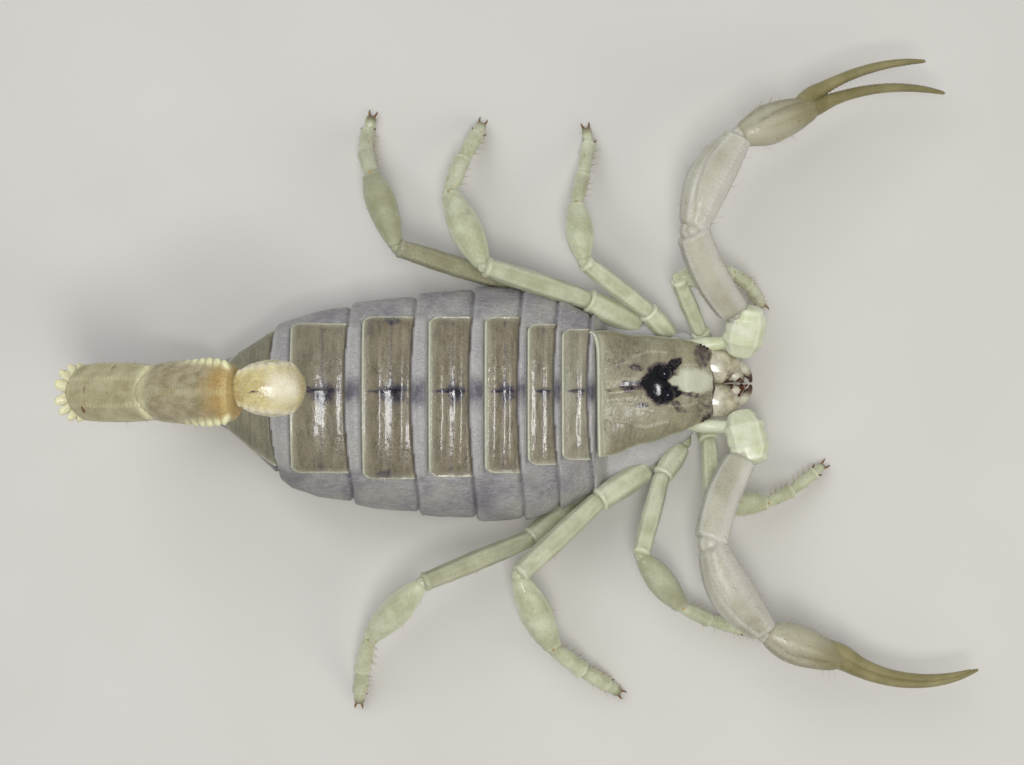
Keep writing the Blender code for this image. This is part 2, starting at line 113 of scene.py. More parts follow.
def rough(point: Vector, size: float, seed: float = 0.0) -> float:
    """Even noise between about -1 and 1 whose lumps are that many millimetres across."""
    return noise.noise(point / size + Vector((seed, seed * 1.7, seed * 0.3)))


def ease(table: Sequence[tuple[float, float]], place: float) -> float:
    """A smooth value between the rows of a table of (place, value).

    Args:
        table: the rows, with rising places.
        place: where the value is wanted.

    Returns:
        The value there, level beyond the last row.
    """
    for (low, first), (high, second) in zip(table, table[1:]):
        if place <= high:
            return first + (second - first) * step(low, high, place)
    return table[-1][1]


def rounded_off(corner: float, behind: float) -> float:
    """How far a plate's side is drawn in that far from its rear edge, for a corner of that radius."""
    return corner - math.sqrt(max(0.0, corner**2 - max(0.0, corner - behind) ** 2))


def through(values: Sequence[Any], place: float) -> Any:
    """A smooth run through the values at 0, 1, 2 and so on.

    Args:
        values: numbers or vectors.
        place: where the value is wanted.

    Returns:
        The number or vector there.
    """
    last = len(values) - 1
    place = min(max(place, 0.0), float(last))
    low = min(int(place), last - 1)
    share = place - low
    first, second = values[low], values[low + 1]
    before = values[max(low - 1, 0)]
    after = values[min(low + 2, last)]
    slope, curve = second - before, 2 * before - 5 * first + 4 * second - after
    bend = 3 * first - before - 3 * second + after
    return 0.5 * (2 * first + slope * share + curve * share**2 + bend * share**3)


def heading(bearing: float, rise: float) -> Vector:
    """The unit vector at a bearing from forwards and a rise from level, in degrees."""
    turn, lift = math.radians(bearing), math.radians(rise)
    return Vector((math.cos(turn) * math.cos(lift), math.sin(turn) * math.cos(lift), math.sin(lift)))


def level_side(direction: Vector) -> Vector:
    """The level unit vector across a limb, to its left."""
    return UP.cross(direction).normalized()


def count(full: int) -> int:
    return max(8, 2 * round(full * (0.5)))


def packed_shift() -> Vector:
    """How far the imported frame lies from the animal's own middle, in millimetres.

    Returns:
        The shift.
    """
    eyes = [corner for name in ("eye_left", "eye_right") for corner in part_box(name)]
    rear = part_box("carapace")[0].x / MM
    middle = (min(corner.y for corner in eyes) + max(corner.y for corner in eyes)) / 2 / MM
    return Vector((rear - HEAD_REAR_X, middle - EYES_Y, 0))


SHIFT = packed_shift()


# ---- skins
class Skin:
    """A mesh in the making, of one or more closed shells with their marks."""

    def __init__(self) -> None:
        """Starts an empty mesh."""
        self.shape = bmesh.new()
        self.layers = [self.shape.verts.layers.float.new(mark) for mark in MARKS]

    def put(self, vert: bmesh.types.BMVert, spot: Spot) -> None:
        """Moves a vertex to a spot and gives it the spot's marks.

        Args:
            vert: the vertex.
            spot: its place and marks.
        """
        vert.co = spot.point
        for layer, value in zip(self.layers, spot[1:]):
            vert[layer] = value

    def dress(self, verts: Iterable[bmesh.types.BMVert], finish: int) -> None:
        """Gives the faces of those vertices a material slot and smooth shading.

        Args:
            verts: all of those faces' corners.
            finish: the slot.
        """
        for face in {face for vert in verts for face in vert.link_faces}:
            face.material_index = finish
            face.smooth = True

    def shell(self, columns: int, rows: int, surface: Surface, finish: int = 0) -> None:
        """Adds a closed shell: a sphere whose circles of latitude are drawn out along a surface.

        Args:
            columns: points round the shell.
            rows: circles along it.
            surface: gives the spot at a place from 0 to 1 along and an angle round.
            finish: its material slot.
        """
        columns, bands = count(columns), count(rows) + 1
        made = bmesh.ops.create_uvsphere(
            self.shape, u_segments=columns, v_segments=bands, radius=1
        )["verts"]
        ends: dict[int, list[Vector]] = {0: [], bands: []}
        poles = []
        for vert in made:
            band = bands - round(math.acos(max(-1.0, min(1.0, vert.co.z))) / math.pi * bands)
            if band in ends:
                poles.append((vert, band))
                continue
            column = round(math.atan2(vert.co.y, vert.co.x) / math.tau * columns) % columns
            spot = surface((band - 1) / (bands - 2), math.tau * column / columns)
            self.put(vert, spot)
            if band in (1, bands - 1):
                ends[0 if band == 1 else bands].append(spot.point)
        for vert, band in poles:
            ring = ends[band]
            centre = sum(ring, Vector()) / len(ring)
            self.put(vert, surface(0.0 if band == 0 else 1.0, 0.0)._replace(point=centre))
        self.dress(made, finish)

    def plate(self, columns: int, rows: int, surface: Surface, thickness: float, finish: int = 0) -> None:
        """Adds a thin closed plate: a grid laid on a surface, with a wall given to it underneath.

        Args:
            columns: points across the plate.
            rows: points along it.
            surface: gives the spot at a place along and a place across, each from -1 to 1.
            thickness: of the wall.
            finish: its material slot.
        """
        made = bmesh.ops.create_grid(
            self.shape, x_segments=count(rows), y_segments=count(columns), size=1
        )["verts"]
        for vert in made:
            self.put(vert, surface(vert.co.x, vert.co.y))
        faces = list({face for vert in made for face in vert.link_faces})
        self.dress(made, finish)
        bmesh.ops.solidify(self.shape, geom=faces, thickness=thickness)

    def spike(self, root: Vector, tip: Vector, radius: float, finish: int = 0, sides: int = 4) -> None:
        """Adds a thin straight cone from root to tip.

        Args:
            root: the middle of its base.
            tip: its point.
            radius: of its base.
            finish: its material slot.
            sides: how many it has.
        """
        span = tip - root
        turned = span.to_track_quat("Z", "Y").to_matrix().to_4x4()
        made = bmesh.ops.create_cone(
            self.shape,
            cap_ends=True,
            cap_tris=False,
            segments=sides,
            radius1=radius,
            radius2=radius * 0.15,
            depth=span.length,
            matrix=Matrix.Translation((root + tip) / 2) @ turned,
        )["verts"]
        self.dress(made, finish)

    def place(
        self,
        name: str,
        finishes: Sequence[bpy.types.Material],
        slot: str,
        replaces: Sequence[str] = (),
    ) -> bpy.types.Object:
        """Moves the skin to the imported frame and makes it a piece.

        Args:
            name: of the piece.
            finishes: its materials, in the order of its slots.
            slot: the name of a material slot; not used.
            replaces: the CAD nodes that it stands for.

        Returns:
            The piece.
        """
        verts = self.shape.verts
        for vert in verts:
            vert.co.z = max(vert.co.z, FLOOR_GAP)
        bmesh.ops.translate(self.shape, verts=verts, vec=SHIFT)
        bmesh.ops.scale(self.shape, verts=verts, vec=(MM, MM, MM))
        bmesh.ops.recalc_face_normals(self.shape, faces=self.shape.faces)
        mesh = bpy.data.meshes.new(name)
        self.shape.to_mesh(mesh)
        self.shape.free()
        for finish in finishes:
            mesh.materials.append(finish)
        piece = bpy.data.objects.new(name, mesh)
        bpy.context.scene.collection.objects.link(piece)
        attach(piece, "root")
        if replaces:
            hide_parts(*replaces)
        log.info("%s: %d faces", name, len(mesh.polygons))
        return piece


class Path:
    """A smooth line through points, with a radius at each."""

    nudge: float = 0.02
    thinnest: float = 0.004

    def __init__(self, points: Sequence[Vector], radii: Sequence[float]) -> None:
        """Takes the points and their radii."""
        self.points = list(points)
        self.radii = list(radii)

    def at(self, share: float) -> tuple[Vector, Vector, float]:
        """The point, the heading and the radius at a share of the way.

        Args:
            share: from 0 to 1.

        Returns:
            The three, in that order.
        """
        place = share * (len(self.points) - 1)
        near, far = through(self.points, place - self.nudge), through(self.points, place + self.nudge)
        radius = max(self.thinnest, through(self.radii, place))
        return through(self.points, place), (far - near).normalized(), radius

    def surface(
        self,
        depth: float = 1.0,
        relief: Callable[[float, float], Relief] | None = None,
        side: Vector | None = None,
        blunt: float = 0.0,
    ) -> Surface:
        """A tube round the line.

        Args:
            depth: its height over its width.
            relief: gives how far the skin stands out, its edge mark and its dark mark.
            side: the way across it; level if it is None.
            blunt: the share at each end over which it rounds off.

        Returns:
            The surface, for Skin.shell.
        """

        def spot(along: float, angle: float) -> Spot:
            """The tube's spot there."""
            centre, direction, radius = self.at(along)
            if side:
                across = (side - direction * side.dot(direction)).normalized()
            else:
                across = level_side(direction)
            upward = direction.cross(across)
            if blunt:
                end = min(along, 1 - along) / blunt
                radius *= math.sqrt(max(0.02, 1 - (1 - min(1.0, end)) ** 2))
            out, edge, pigment_and_shade = relief(along, angle) if relief else (0.0, 0.0, 0.0)
            reach = radius + out
            offset = across * math.cos(angle) * reach + upward * math.sin(angle) * reach * depth
            return Spot(centre + offset, edge, pigment_and_shade, along)

        return spot


# ---- finishes
def hex_colour(code: str) -> tuple[float, float, float, float]:
    """Turns an sRGB hex colour into a linear one.

    Args:
        code: its six digits.

    Returns:
        Red, green, blue and 1.
    """
    parts = [int(code[place : place + 2], 16) / 255 for place in (0, 2, 4)]
    red, green, blue = [
        part / 12.92 if part <= 0.04045 else ((part + 0.055) / 1.055) ** 2.4 for part in parts
    ]
    return (red, green, blue, 1.0)


def add_node(
    tree: bpy.types.NodeTree, kind: str, inputs: dict[Any, Any], **settings: Any
) -> bpy.types.Node:
    """Adds a node.

    Args:
        tree: the material's node tree.
        kind: the node's type.
        inputs: a value or an output to link, for each input's name or number.
        **settings: the node's own settings.

    Returns:
        The node.
    """
    node = tree.nodes.new(kind)
    for name, value in settings.items():
        setattr(node, name, value)
    for name, value in inputs.items():
        if isinstance(value, bpy.types.NodeSocket):
            tree.links.new(value, node.inputs[name])
        else:
            node.inputs[name].default_value = value
    return node


class FinishBench:
    """A new material and the short ways to work on it."""

    def __init__(self, name: str) -> None:
        """Starts a material of that name."""
        self.material = bpy.data.materials.new(name)
        self.material.use_nodes = True
        self.tree = self.material.node_tree
        self.shader = self.tree.nodes["Principled BSDF"]
        self.coords = add_node(self.tree, "ShaderNodeTexCoord", {}).outputs["Object"]

    def mark(self, name: str) -> bpy.types.NodeSocket:
        """Reads one of the skin's marks."""
        return add_node(self.tree, "ShaderNodeAttribute", {}, attribute_name=name).outputs["Fac"]

    def lumps(
        self, size: float, detail: float = 2.0, stretch: tuple[float, float, float] = (1, 1, 1)
    ) -> Any:
        """Soft noise.

        Args:
            size: of a lump, in millimetres.
            detail: layers of it.
            stretch: along each axis, longer over 1.

        Returns:
            The output.
        """
        scaled = add_node(
            self.tree, "ShaderNodeMapping", {"Vector": self.coords, "Scale": [1 / axis for axis in stretch]}
        )
        inputs = {"Vector": scaled.outputs["Vector"], "Scale": 1 / (size * MM), "Detail": detail}
        return add_node(self.tree, "ShaderNodeTexNoise", inputs).outputs["Fac"]

    def grains(self, size: float) -> bpy.types.NodeSocket:
        """Rounded grains, high in the middle.

        Args:
            size: of a grain, in millimetres.

        Returns:
            The output.
        """
        cells = add_node(
            self.tree,
            "ShaderNodeTexVoronoi",
            {"Vector": self.coords, "Scale": 1 / (size * MM), "Smoothness": 0.4},
            feature="SMOOTH_F1",
        )
        return self.between(cells.outputs["Distance"], 0.65, 0.1)

    def between(self, value: Any, low: float, high: float, to: tuple[float, float] = (0, 1)) -> Any:
        """Stretches the range from low to high over another one, and holds it there."""
        inputs = {"Value": value, "From Min": low, "From Max": high, "To Min": to[0], "To Max": to[1]}
        return add_node(self.tree, "ShaderNodeMapRange", inputs).outputs["Result"]

    def sum(self, first: Any, second: Any, share: float) -> Any:
        """Adds a share of the second value to the first."""
        inputs = {0: second, 1: share, 2: first}
        return add_node(self.tree, "ShaderNodeMath", inputs, operation="MULTIPLY_ADD").outputs["Value"]

    def times(self, first: Any, second: Any) -> Any:
        """Multiplies two values."""
        inputs = {0: first, 1: second}
        return add_node(self.tree, "ShaderNodeMath", inputs, operation="MULTIPLY").outputs["Value"]

    def mix(self, share: Any, first: Any, second: Any) -> Any:
        """Mixes two colours, each a hex code or an output.

        Args:
            share: of the second.
            first: colour.
            second: colour.

        Returns:
            The output.
        """
        first, second = (hex_colour(c) if isinstance(c, str) else c for c in (first, second))
        inputs = {0: share, 6: first, 7: second}
        return add_node(self.tree, "ShaderNodeMix", inputs, data_type="RGBA").outputs[2]

    def raise_skin(self, height: Any, millimetres: float, strength: Any = 1.0) -> None:
        """Gives the shader small relief.

        Args:
            height: from 0 to 1.
            millimetres: at a height of 1.
            strength: fainter under 1.
        """
        inputs = {"Height": height, "Distance": millimetres * MM, "Strength": strength}
        bump = add_node(self.tree, "ShaderNodeBump", inputs)
        self.tree.links.new(bump.outputs["Normal"], self.shader.inputs["Normal"])

    def feed(self, **inputs: Any) -> bpy.types.Material:
        """Sets or links the shader's inputs, named with _ for a space.

        Args:
            **inputs: a value or an output for each.

        Returns:
            The material.
        """
        for name, value in inputs.items():
            socket = self.shader.inputs[name.replace("_", " ")]
            if isinstance(value, bpy.types.NodeSocket):
                self.tree.links.new(value, socket)
            else:
                socket.default_value = value
        return self.material


@dataclass(frozen=True)
class Cuticle:
    """Thin horny skin over pale flesh. Light sinks in and comes out round it, so it looks like wax or
    clouded glass, with a wet shine on its ridges and fine grains where it is armoured."""

    name: str
    flesh: str
    deep: str
    pale: str
    dark: str
    grain: float = 0.12
    grain_height: float = 0.01
    patch: float = 1.1
    shine: float = 0.38
    coat: float = 0.25
    glow: float = 0.25
    streaks: tuple[float, float, float] = (1, 1, 1)
    tip: str = ""
    tip_span: tuple[float, float] = (0.86, 1.04)
    speckle: float = 0.45
    coat_rough: float = 0.2

    def material(self) -> bpy.types.Material:
        """Makes the finish.

        Returns:
            The material.
        """
        bench = FinishBench(self.name)
        patches = bench.between(bench.lumps(self.patch, 3, self.streaks), 0.38, 0.62)
        fine = bench.lumps(0.11, 2, self.streaks)
        colour = bench.mix(patches, self.flesh, self.deep)
        if self.tip:
            clouded = bench.sum(bench.mark("along"), bench.lumps(1.3), 0.35)
            colour = bench.mix(bench.between(clouded, *self.tip_span, (0.0, 0.92)), colour, self.tip)
        colour = bench.mix(bench.between(fine, 0.35, 0.75, (0.0, 0.28)), colour, self.pale)
        colour = bench.mix(bench.mark("edge"), colour, self.pale)
        broken = bench.sum(bench.mark("pigment_and_shade"), bench.between(fine, 0.3, 0.7, (-0.5, 0.5)), self.speckle)
        colour = bench.mix(bench.between(broken, 0.1, 0.9), colour, self.dark)
        # Real grains are finer than this; they are drawn as coarse as they need to be to show.
        height = bench.sum(bench.grains(self.grain), bench.lumps(0.07, 1), 0.35)
        bench.raise_skin(height, self.grain_height)
        return bench.feed(
            Base_Color=colour,
            Roughness=bench.between(bench.lumps(0.5), 0.3, 0.7, (self.shine - 0.08, self.shine + 0.12)),
            Subsurface_Weight=self.glow,
            Subsurface_Radius=(1.0, 0.85, 0.5),
            Subsurface_Scale=0.35 * MM,
            Coat_Weight=self.coat,
            Coat_Roughness=self.coat_rough,
        )


@dataclass(frozen=True)
class BackPlate:
    """The back's thin plates, brown and half clear over dark insides, with a pale thick rim. They look
    like smoky horn: cloudy inside, with a hard wet gloss on top."""

    name: str
    flesh: str
    deep: str
    clear: str
    pale: str
    brown: str
    black: str
    shine: float = 0.27
    coat: float = 0.45
    black_span: tuple[float, float] = (0.44, 0.60)

    def material(self) -> bpy.types.Material:
        """Makes the finish.

        Returns:
            The material.
        """
        bench = FinishBench(self.name)
        clouds = bench.between(bench.lumps(0.9, 3, (0.6, 1.8, 1)), 0.35, 0.66)
        streaks = bench.between(bench.lumps(0.3, 3, (0.5, 2.6, 1)), 0.36, 0.68)
        fine = bench.lumps(0.09, 2)
        colour = bench.mix(clouds, self.flesh, self.deep)
        colour = bench.mix(bench.times(streaks, 0.42), colour, self.clear)
        colour = bench.mix(bench.between(fine, 0.4, 0.8, (0.0, 0.22)), colour, self.pale)
        colour = bench.mix(bench.mark("edge"), colour, self.pale)
        broken = bench.sum(bench.mark("pigment_and_shade"), bench.between(fine, 0.3, 0.7, (-0.5, 0.5)), 0.3)
        colour = bench.mix(bench.between(broken, 0.15, 0.5), colour, self.brown)
        colour = bench.mix(bench.between(broken, *self.black_span), colour, self.black)
        height = bench.sum(bench.lumps(0.16, 3, (0.5, 1.6, 1)), bench.grains(0.1), 0.3)
        bench.raise_skin(height, 0.022, bench.between(broken, *self.black_span, (1.0, 0.3)))
        gloss = bench.between(bench.lumps(0.45), 0.3, 0.7, (self.shine - 0.07, self.shine + 0.13))
        return bench.feed(
            Base_Color=colour,
            Roughness=bench.times(gloss, bench.between(broken, *self.black_span, (1.0, 0.35))),
            Subsurface_Weight=0.12,
            Subsurface_Radius=(1.0, 0.9, 0.7),
            Subsurface_Scale=0.3 * MM,
            Coat_Weight=self.coat,
            Coat_Roughness=0.12,
        )


@dataclass(frozen=True)
class SoftSkin:
    """Stretched grey skin between the plates: matt silk, finely creased and pored, with violet shade
    where the insides show through and whitish bloom on its folds."""

    name: str
    flesh: str
    deep: str
    pale: str
    dark: str

    def material(self) -> bpy.types.Material:
        """Makes the finish.

        Returns:
            The material.
        """
        bench = FinishBench(self.name)
        clouds = bench.between(bench.lumps(1.5, 3), 0.36, 0.64)
        creases = bench.lumps(0.16, 4, (2.2, 0.8, 1))
        bloom = bench.between(bench.lumps(0.13, 3), 0.56, 0.74, (0.0, 0.5))
        colour = bench.mix(clouds, self.flesh, self.deep)
        colour = bench.mix(bench.between(creases, 0.35, 0.7, (0.0, 0.35)), colour, self.pale)
        colour = bench.mix(bloom, colour, self.pale)
        colour = bench.mix(bench.mark("edge"), colour, self.pale)
        colour = bench.mix(bench.mark("pigment_and_shade"), colour, self.dark)
        # Real pores are finer than this; they are drawn as coarse as they need to be to show.
        bench.raise_skin(bench.sum(creases, bench.grains(0.09), 0.5), 0.035)
        return bench.feed(
            Base_Color=colour,
            Roughness=bench.between(creases, 0.3, 0.7, (0.5, 0.36)),
            Subsurface_Weight=0.2,
            Subsurface_Radius=(1.0, 0.9, 0.8),
            Subsurface_Scale=0.3 * MM,
            Coat_Weight=0.12,
            Coat_Roughness=0.3,
        )


@dataclass(frozen=True)
class EyeLens:
    """Black lenses, polished like wet glass beads."""

    name: str = "black_eye_lens"
    colour: str = "0b0a10"

    def material(self) -> bpy.types.Material:
        """Makes the finish, its black a little broken so that it isn't dead.

        Returns:
            The material.
        """
        bench = FinishBench(self.name)
        colour = bench.mix(bench.between(bench.lumps(0.12), 0.4, 0.7), self.colour, "1d1a26")
        return bench.feed(
            Base_Color=colour,
            Roughness=bench.between(bench.lumps(0.2), 0.3, 0.7, (0.05, 0.1)),
            Specular_IOR_Level=0.12,
            Coat_Weight=0.6,
            Coat_Roughness=0.04,
        )


@dataclass(frozen=True)
class StudioPaper:
    """Plain pale paper under the animal, quite matt."""

    name: str = "studio_paper"
    colour: str = "c9c6bf"

    def material(self) -> bpy.types.Material:
        """Makes the finish.

        Returns:
            The material.
        """
        bench = FinishBench(self.name)
        colour = bench.mix(bench.between(bench.lumps(9, 2), 0.3, 0.7, (0.0, 0.5)), self.colour, "cfccc6")
        bench.raise_skin(bench.lumps(0.25, 3), 0.01)
        return bench.feed(Base_Color=colour, Roughness=0.9)


class Finishes:
    """Every finish on the animal, made once."""

    def __init__(self) -> None:
        """Makes them all."""
        self.leg = Cuticle(
            "leg_cuticle", "c2c5a8", "a7a988", "dee0c6", "635a38", shine=0.62, coat=0.4, glow=0.3,
            speckle=0.18, coat_rough=0.09
        ).material()
        self.arm = Cuticle(
            "arm_cuticle", "b5b29e", "9f9b84", "d0cec7", "6a5f45", grain=0.1, grain_height=0.014, patch=1.8,
            speckle=0.16, shine=0.42
        ).material()
        self.armour = Cuticle(
            "arm_root_cuticle", "d0d3b9", "c0c49e", "e3e5d0", "8f9060", grain=0.14, grain_height=0.012,
            patch=0.9
        ).material()
        self.hand = Cuticle(
            "hand_cuticle", "a39f8a", "8b866c", "b9b59d", "574d2c", grain=0.09, patch=1.6, glow=0.22,
            tip="827a52", tip_span=(0.45, 0.98)
        ).material()
        self.finger = Cuticle(
            "finger_cuticle", "8b835a", "726a40", "a8a17c", "3b2f17", grain=0.08, patch=1.5, glow=0.2
        ).material()
        self.tail = Cuticle(
            "tail_cuticle", "b0a883", "978d66", "d6d3ac", "6b4a22", grain=0.09, grain_height=0.018,
            patch=0.7, coat=0.12, shine=0.44, streaks=(2.6, 0.8, 1)
        ).material()
        self.tail_end = Cuticle(
            "tail_end_cuticle", "a3977a", "857754", "d9d7ab", "6b4a22", grain=0.09, grain_height=0.018,
            patch=0.55, coat=0.12, shine=0.44, streaks=(3.4, 0.6, 1), tip="a68442"
        ).material()
        self.sting = Cuticle(
            "sting_cuticle", "beb174", "a6945a", "efebd8", "3a1c0e", grain=0.11, shine=0.24, coat=0.6,
            patch=0.8, glow=0.35, speckle=0.25
        ).material()
        self.jaw = Cuticle(
            "jaw_cuticle", "b8b196", "908768", "e8e5d7", "402617", grain=0.2, grain_height=0.004, shine=0.16,
            coat=1.0, patch=0.4
        ).material()
        self.tooth = Cuticle(
            "jaw_tooth", "4a2413", "2c140a", "8a5a34", "140805", grain=0.2, grain_height=0.003, shine=0.18,
            glow=0.05
        ).material()
        self.plate = BackPlate(
            "back_plate", "786e58", "5a5140", "8f8672", "bfc0aa", "47424a", "1b181f", black_span=(0.5, 1.0)
        ).material()
        self.head = BackPlate(
            "head_plate", "8b846a", "746d55", "9d9a7e", "c9cab5", "564b48", "08080c", shine=0.40, coat=0.17,
            black_span=(0.52, 0.9)
        ).material()
        self.rear_plate = BackPlate(
            "rear_back_plate", "807a65", "67634f", "8f8a75", "bfc0aa", "5a554a", "24221f", shine=0.36,
            coat=0.25
        ).material()
        self.skin = SoftSkin("side_membrane", "8f8c87", "7a777b", "b5b3af", "55515b").material()
        self.belly = BackPlate(
            "belly_plate", "b3ab8e", "9d9478", "c3bea6", "cfcaae", "7d7058", "3a3028", shine=0.36
        ).material()
        self.claw = Cuticle(
            "claw_horn", "7a5a2c", "5a3c1c", "a98a4c", "24140b", grain=0.2, grain_height=0.003, glow=0.1
        ).material()
        self.bristle = Cuticle(
            "bristle_horn", "b29a68", "8f7745", "d4c493", "4a3520", grain=0.2, grain_height=0.002, glow=0.1
        ).material()
        self.eye = EyeLens().material()


# ---- trunk
@dataclass(frozen=True)
class BodyShape:
    """The outline of the trunk, and of the hips in front of it. Places count segments from the front."""

    front_x: float = 4.15
    rear_x: float = -14.64
    nose_x: float = 9.95
    lengths: tuple[float, ...] = (1.75, 1.70, 2.13, 2.78, 3.32, 3.62, 3.50)
    half_widths: tuple[float, ...] = (4.45, 5.20, 5.73, 5.78, 5.49, 5.03, 4.09, 1.62)
    crests: tuple[float, ...] = (4.45, 4.80, 5.15, 5.40, 5.45, 5.20, 4.75, 3.75)
    undersides: tuple[float, ...] = (1.10, 0.95, 0.55, 0.0, 0.0, 0.0, 0.0, 1.75)
    waist: float = 0.60
    belly_y: float = -1.12
    crest_shift: float = 0.70
    rear_y: float = -0.50
    hip_half_widths: Table = ((0.0, 4.30), (0.40, 3.80), (0.75, 2.85), (1.0, 1.75))
    hip_middles: Table = ((0.0, -1.12), (0.40, -0.73), (1.0, 0.0))
    hip_undersides: Table = ((0.0, 0.85), (1.0, 1.25))
    hip_top: float = 2.60
    hip_length: float = 5.85

    def x_of(self, place: float) -> float:
        """How far forwards a place is."""
        passed = int(min(max(place, 0.0), len(self.lengths) - 1))
        return self.front_x - sum(self.lengths[:passed]) - self.lengths[passed] * (place - passed)

    def place_of(self, x: float) -> float:
        """The place at that x, under 0 in front of the trunk.

        Args:
            x: forwards.

        Returns:
            The place.
        """
        behind = self.front_x - x
        for index, length in enumerate(self.lengths):
            if behind < length or index == len(self.lengths) - 1:
                return index + behind / length
            behind -= length
        return 0.0

    def point(self, place: float, angle: float) -> Vector:
        """A point of the trunk's skin: angle 0 is its left flank and a quarter turn its crest.

        Args:
            place: along it.
            angle: round it.

        Returns:
            The point.
        """
        half = through(self.half_widths, place)
        crest = through(self.crests, place)
        base = max(0.0, through(self.undersides, place))
        waist = base + (crest - base) * self.waist
        rearward = max(0.0, place - 6)
        middle = self.belly_y + (self.rear_y - self.belly_y) * rearward
        across, up = math.cos(angle), math.sin(angle)
        x = self.x_of(place)
        if up >= 0:
            y = middle + half * squared(across, 0.85) + self.crest_shift * (1 - rearward) * up
            return Vector((x, y, waist + (crest - waist) * up**0.85))
        y = middle + half * squared(across, 0.80) * (1 - 0.24 * abs(up) ** 0.7)
        return Vector((x, y, waist - (waist - base) * min(1.0, 1.04 * abs(up) ** 0.62)))

    def hip_point(self, x: float, angle: float) -> Vector:
        """A point of the soft skin round the hips, under the head's plate.

        Args:
            x: forwards.
            angle: round it.

        Returns:
            The point.
        """
        place = min(1.0, max(0.0, (x - HEAD_REAR_X) / self.hip_length))
        base = ease(self.hip_undersides, place)
        waist = base + (self.hip_top - base) * 0.7
        across, up = math.cos(angle), math.sin(angle)
        height = (self.hip_top - waist) * up**0.5 if up >= 0 else -(waist - base) * abs(up) ** 0.6
        reach = ease(self.hip_half_widths, place) * squared(across, 0.8) * (1 + 0.25 * min(0.0, up))
        return Vector((x, ease(self.hip_middles, place) + reach, waist + height))

    def skin_point(self, x: float, angle: float) -> Vector:
        """A point of the whole body's skin, which rolls down under the rear of the head's plate.

        Args:
            x: forwards.
            angle: round it.

        Returns:
            The point.
        """
        trunk = self.point(max(0.0, self.place_of(x)), angle)
        trunk.x = x
        share = step(3.95, 4.9, x)
        return trunk.lerp(self.hip_point(x, angle), share) if share else trunk

    def outward(self, x: float, angle: float) -> Vector:
        """The way out of the skin there, square to the body's length."""
        along = self.skin_point(x, angle + 0.01) - self.skin_point(x, angle - 0.01)
        return Vector((0, along.z, -along.y)).normalized()

    def angle_at(self, place: float, y: float) -> float:
        """The angle at which the upper skin is that far to the left.

        Args:
            place: along it.
            y: to the left.

        Returns:
            The angle.
        """
        low, high = 0.0, math.pi
        for _ in range(24):
            middle = (low + high) / 2
            if self.point(place, middle).y > y:
                low = middle
            else:
                high = middle
        return (low + high) / 2


@dataclass(frozen=True)
class BackPlateSize:
    """One plate of the back: the bare share of its segment in front of it, where its sides are, how far
    its rear corners are drawn in, and its cross ridges as (place, height, width) rows."""

    bare: float
    left: float
    right: float
    narrowing: float
    ridges: tuple[tuple[float, float, float], ...]
    dark: float
    milky: float = 0.0
    smoke: float = 0.20


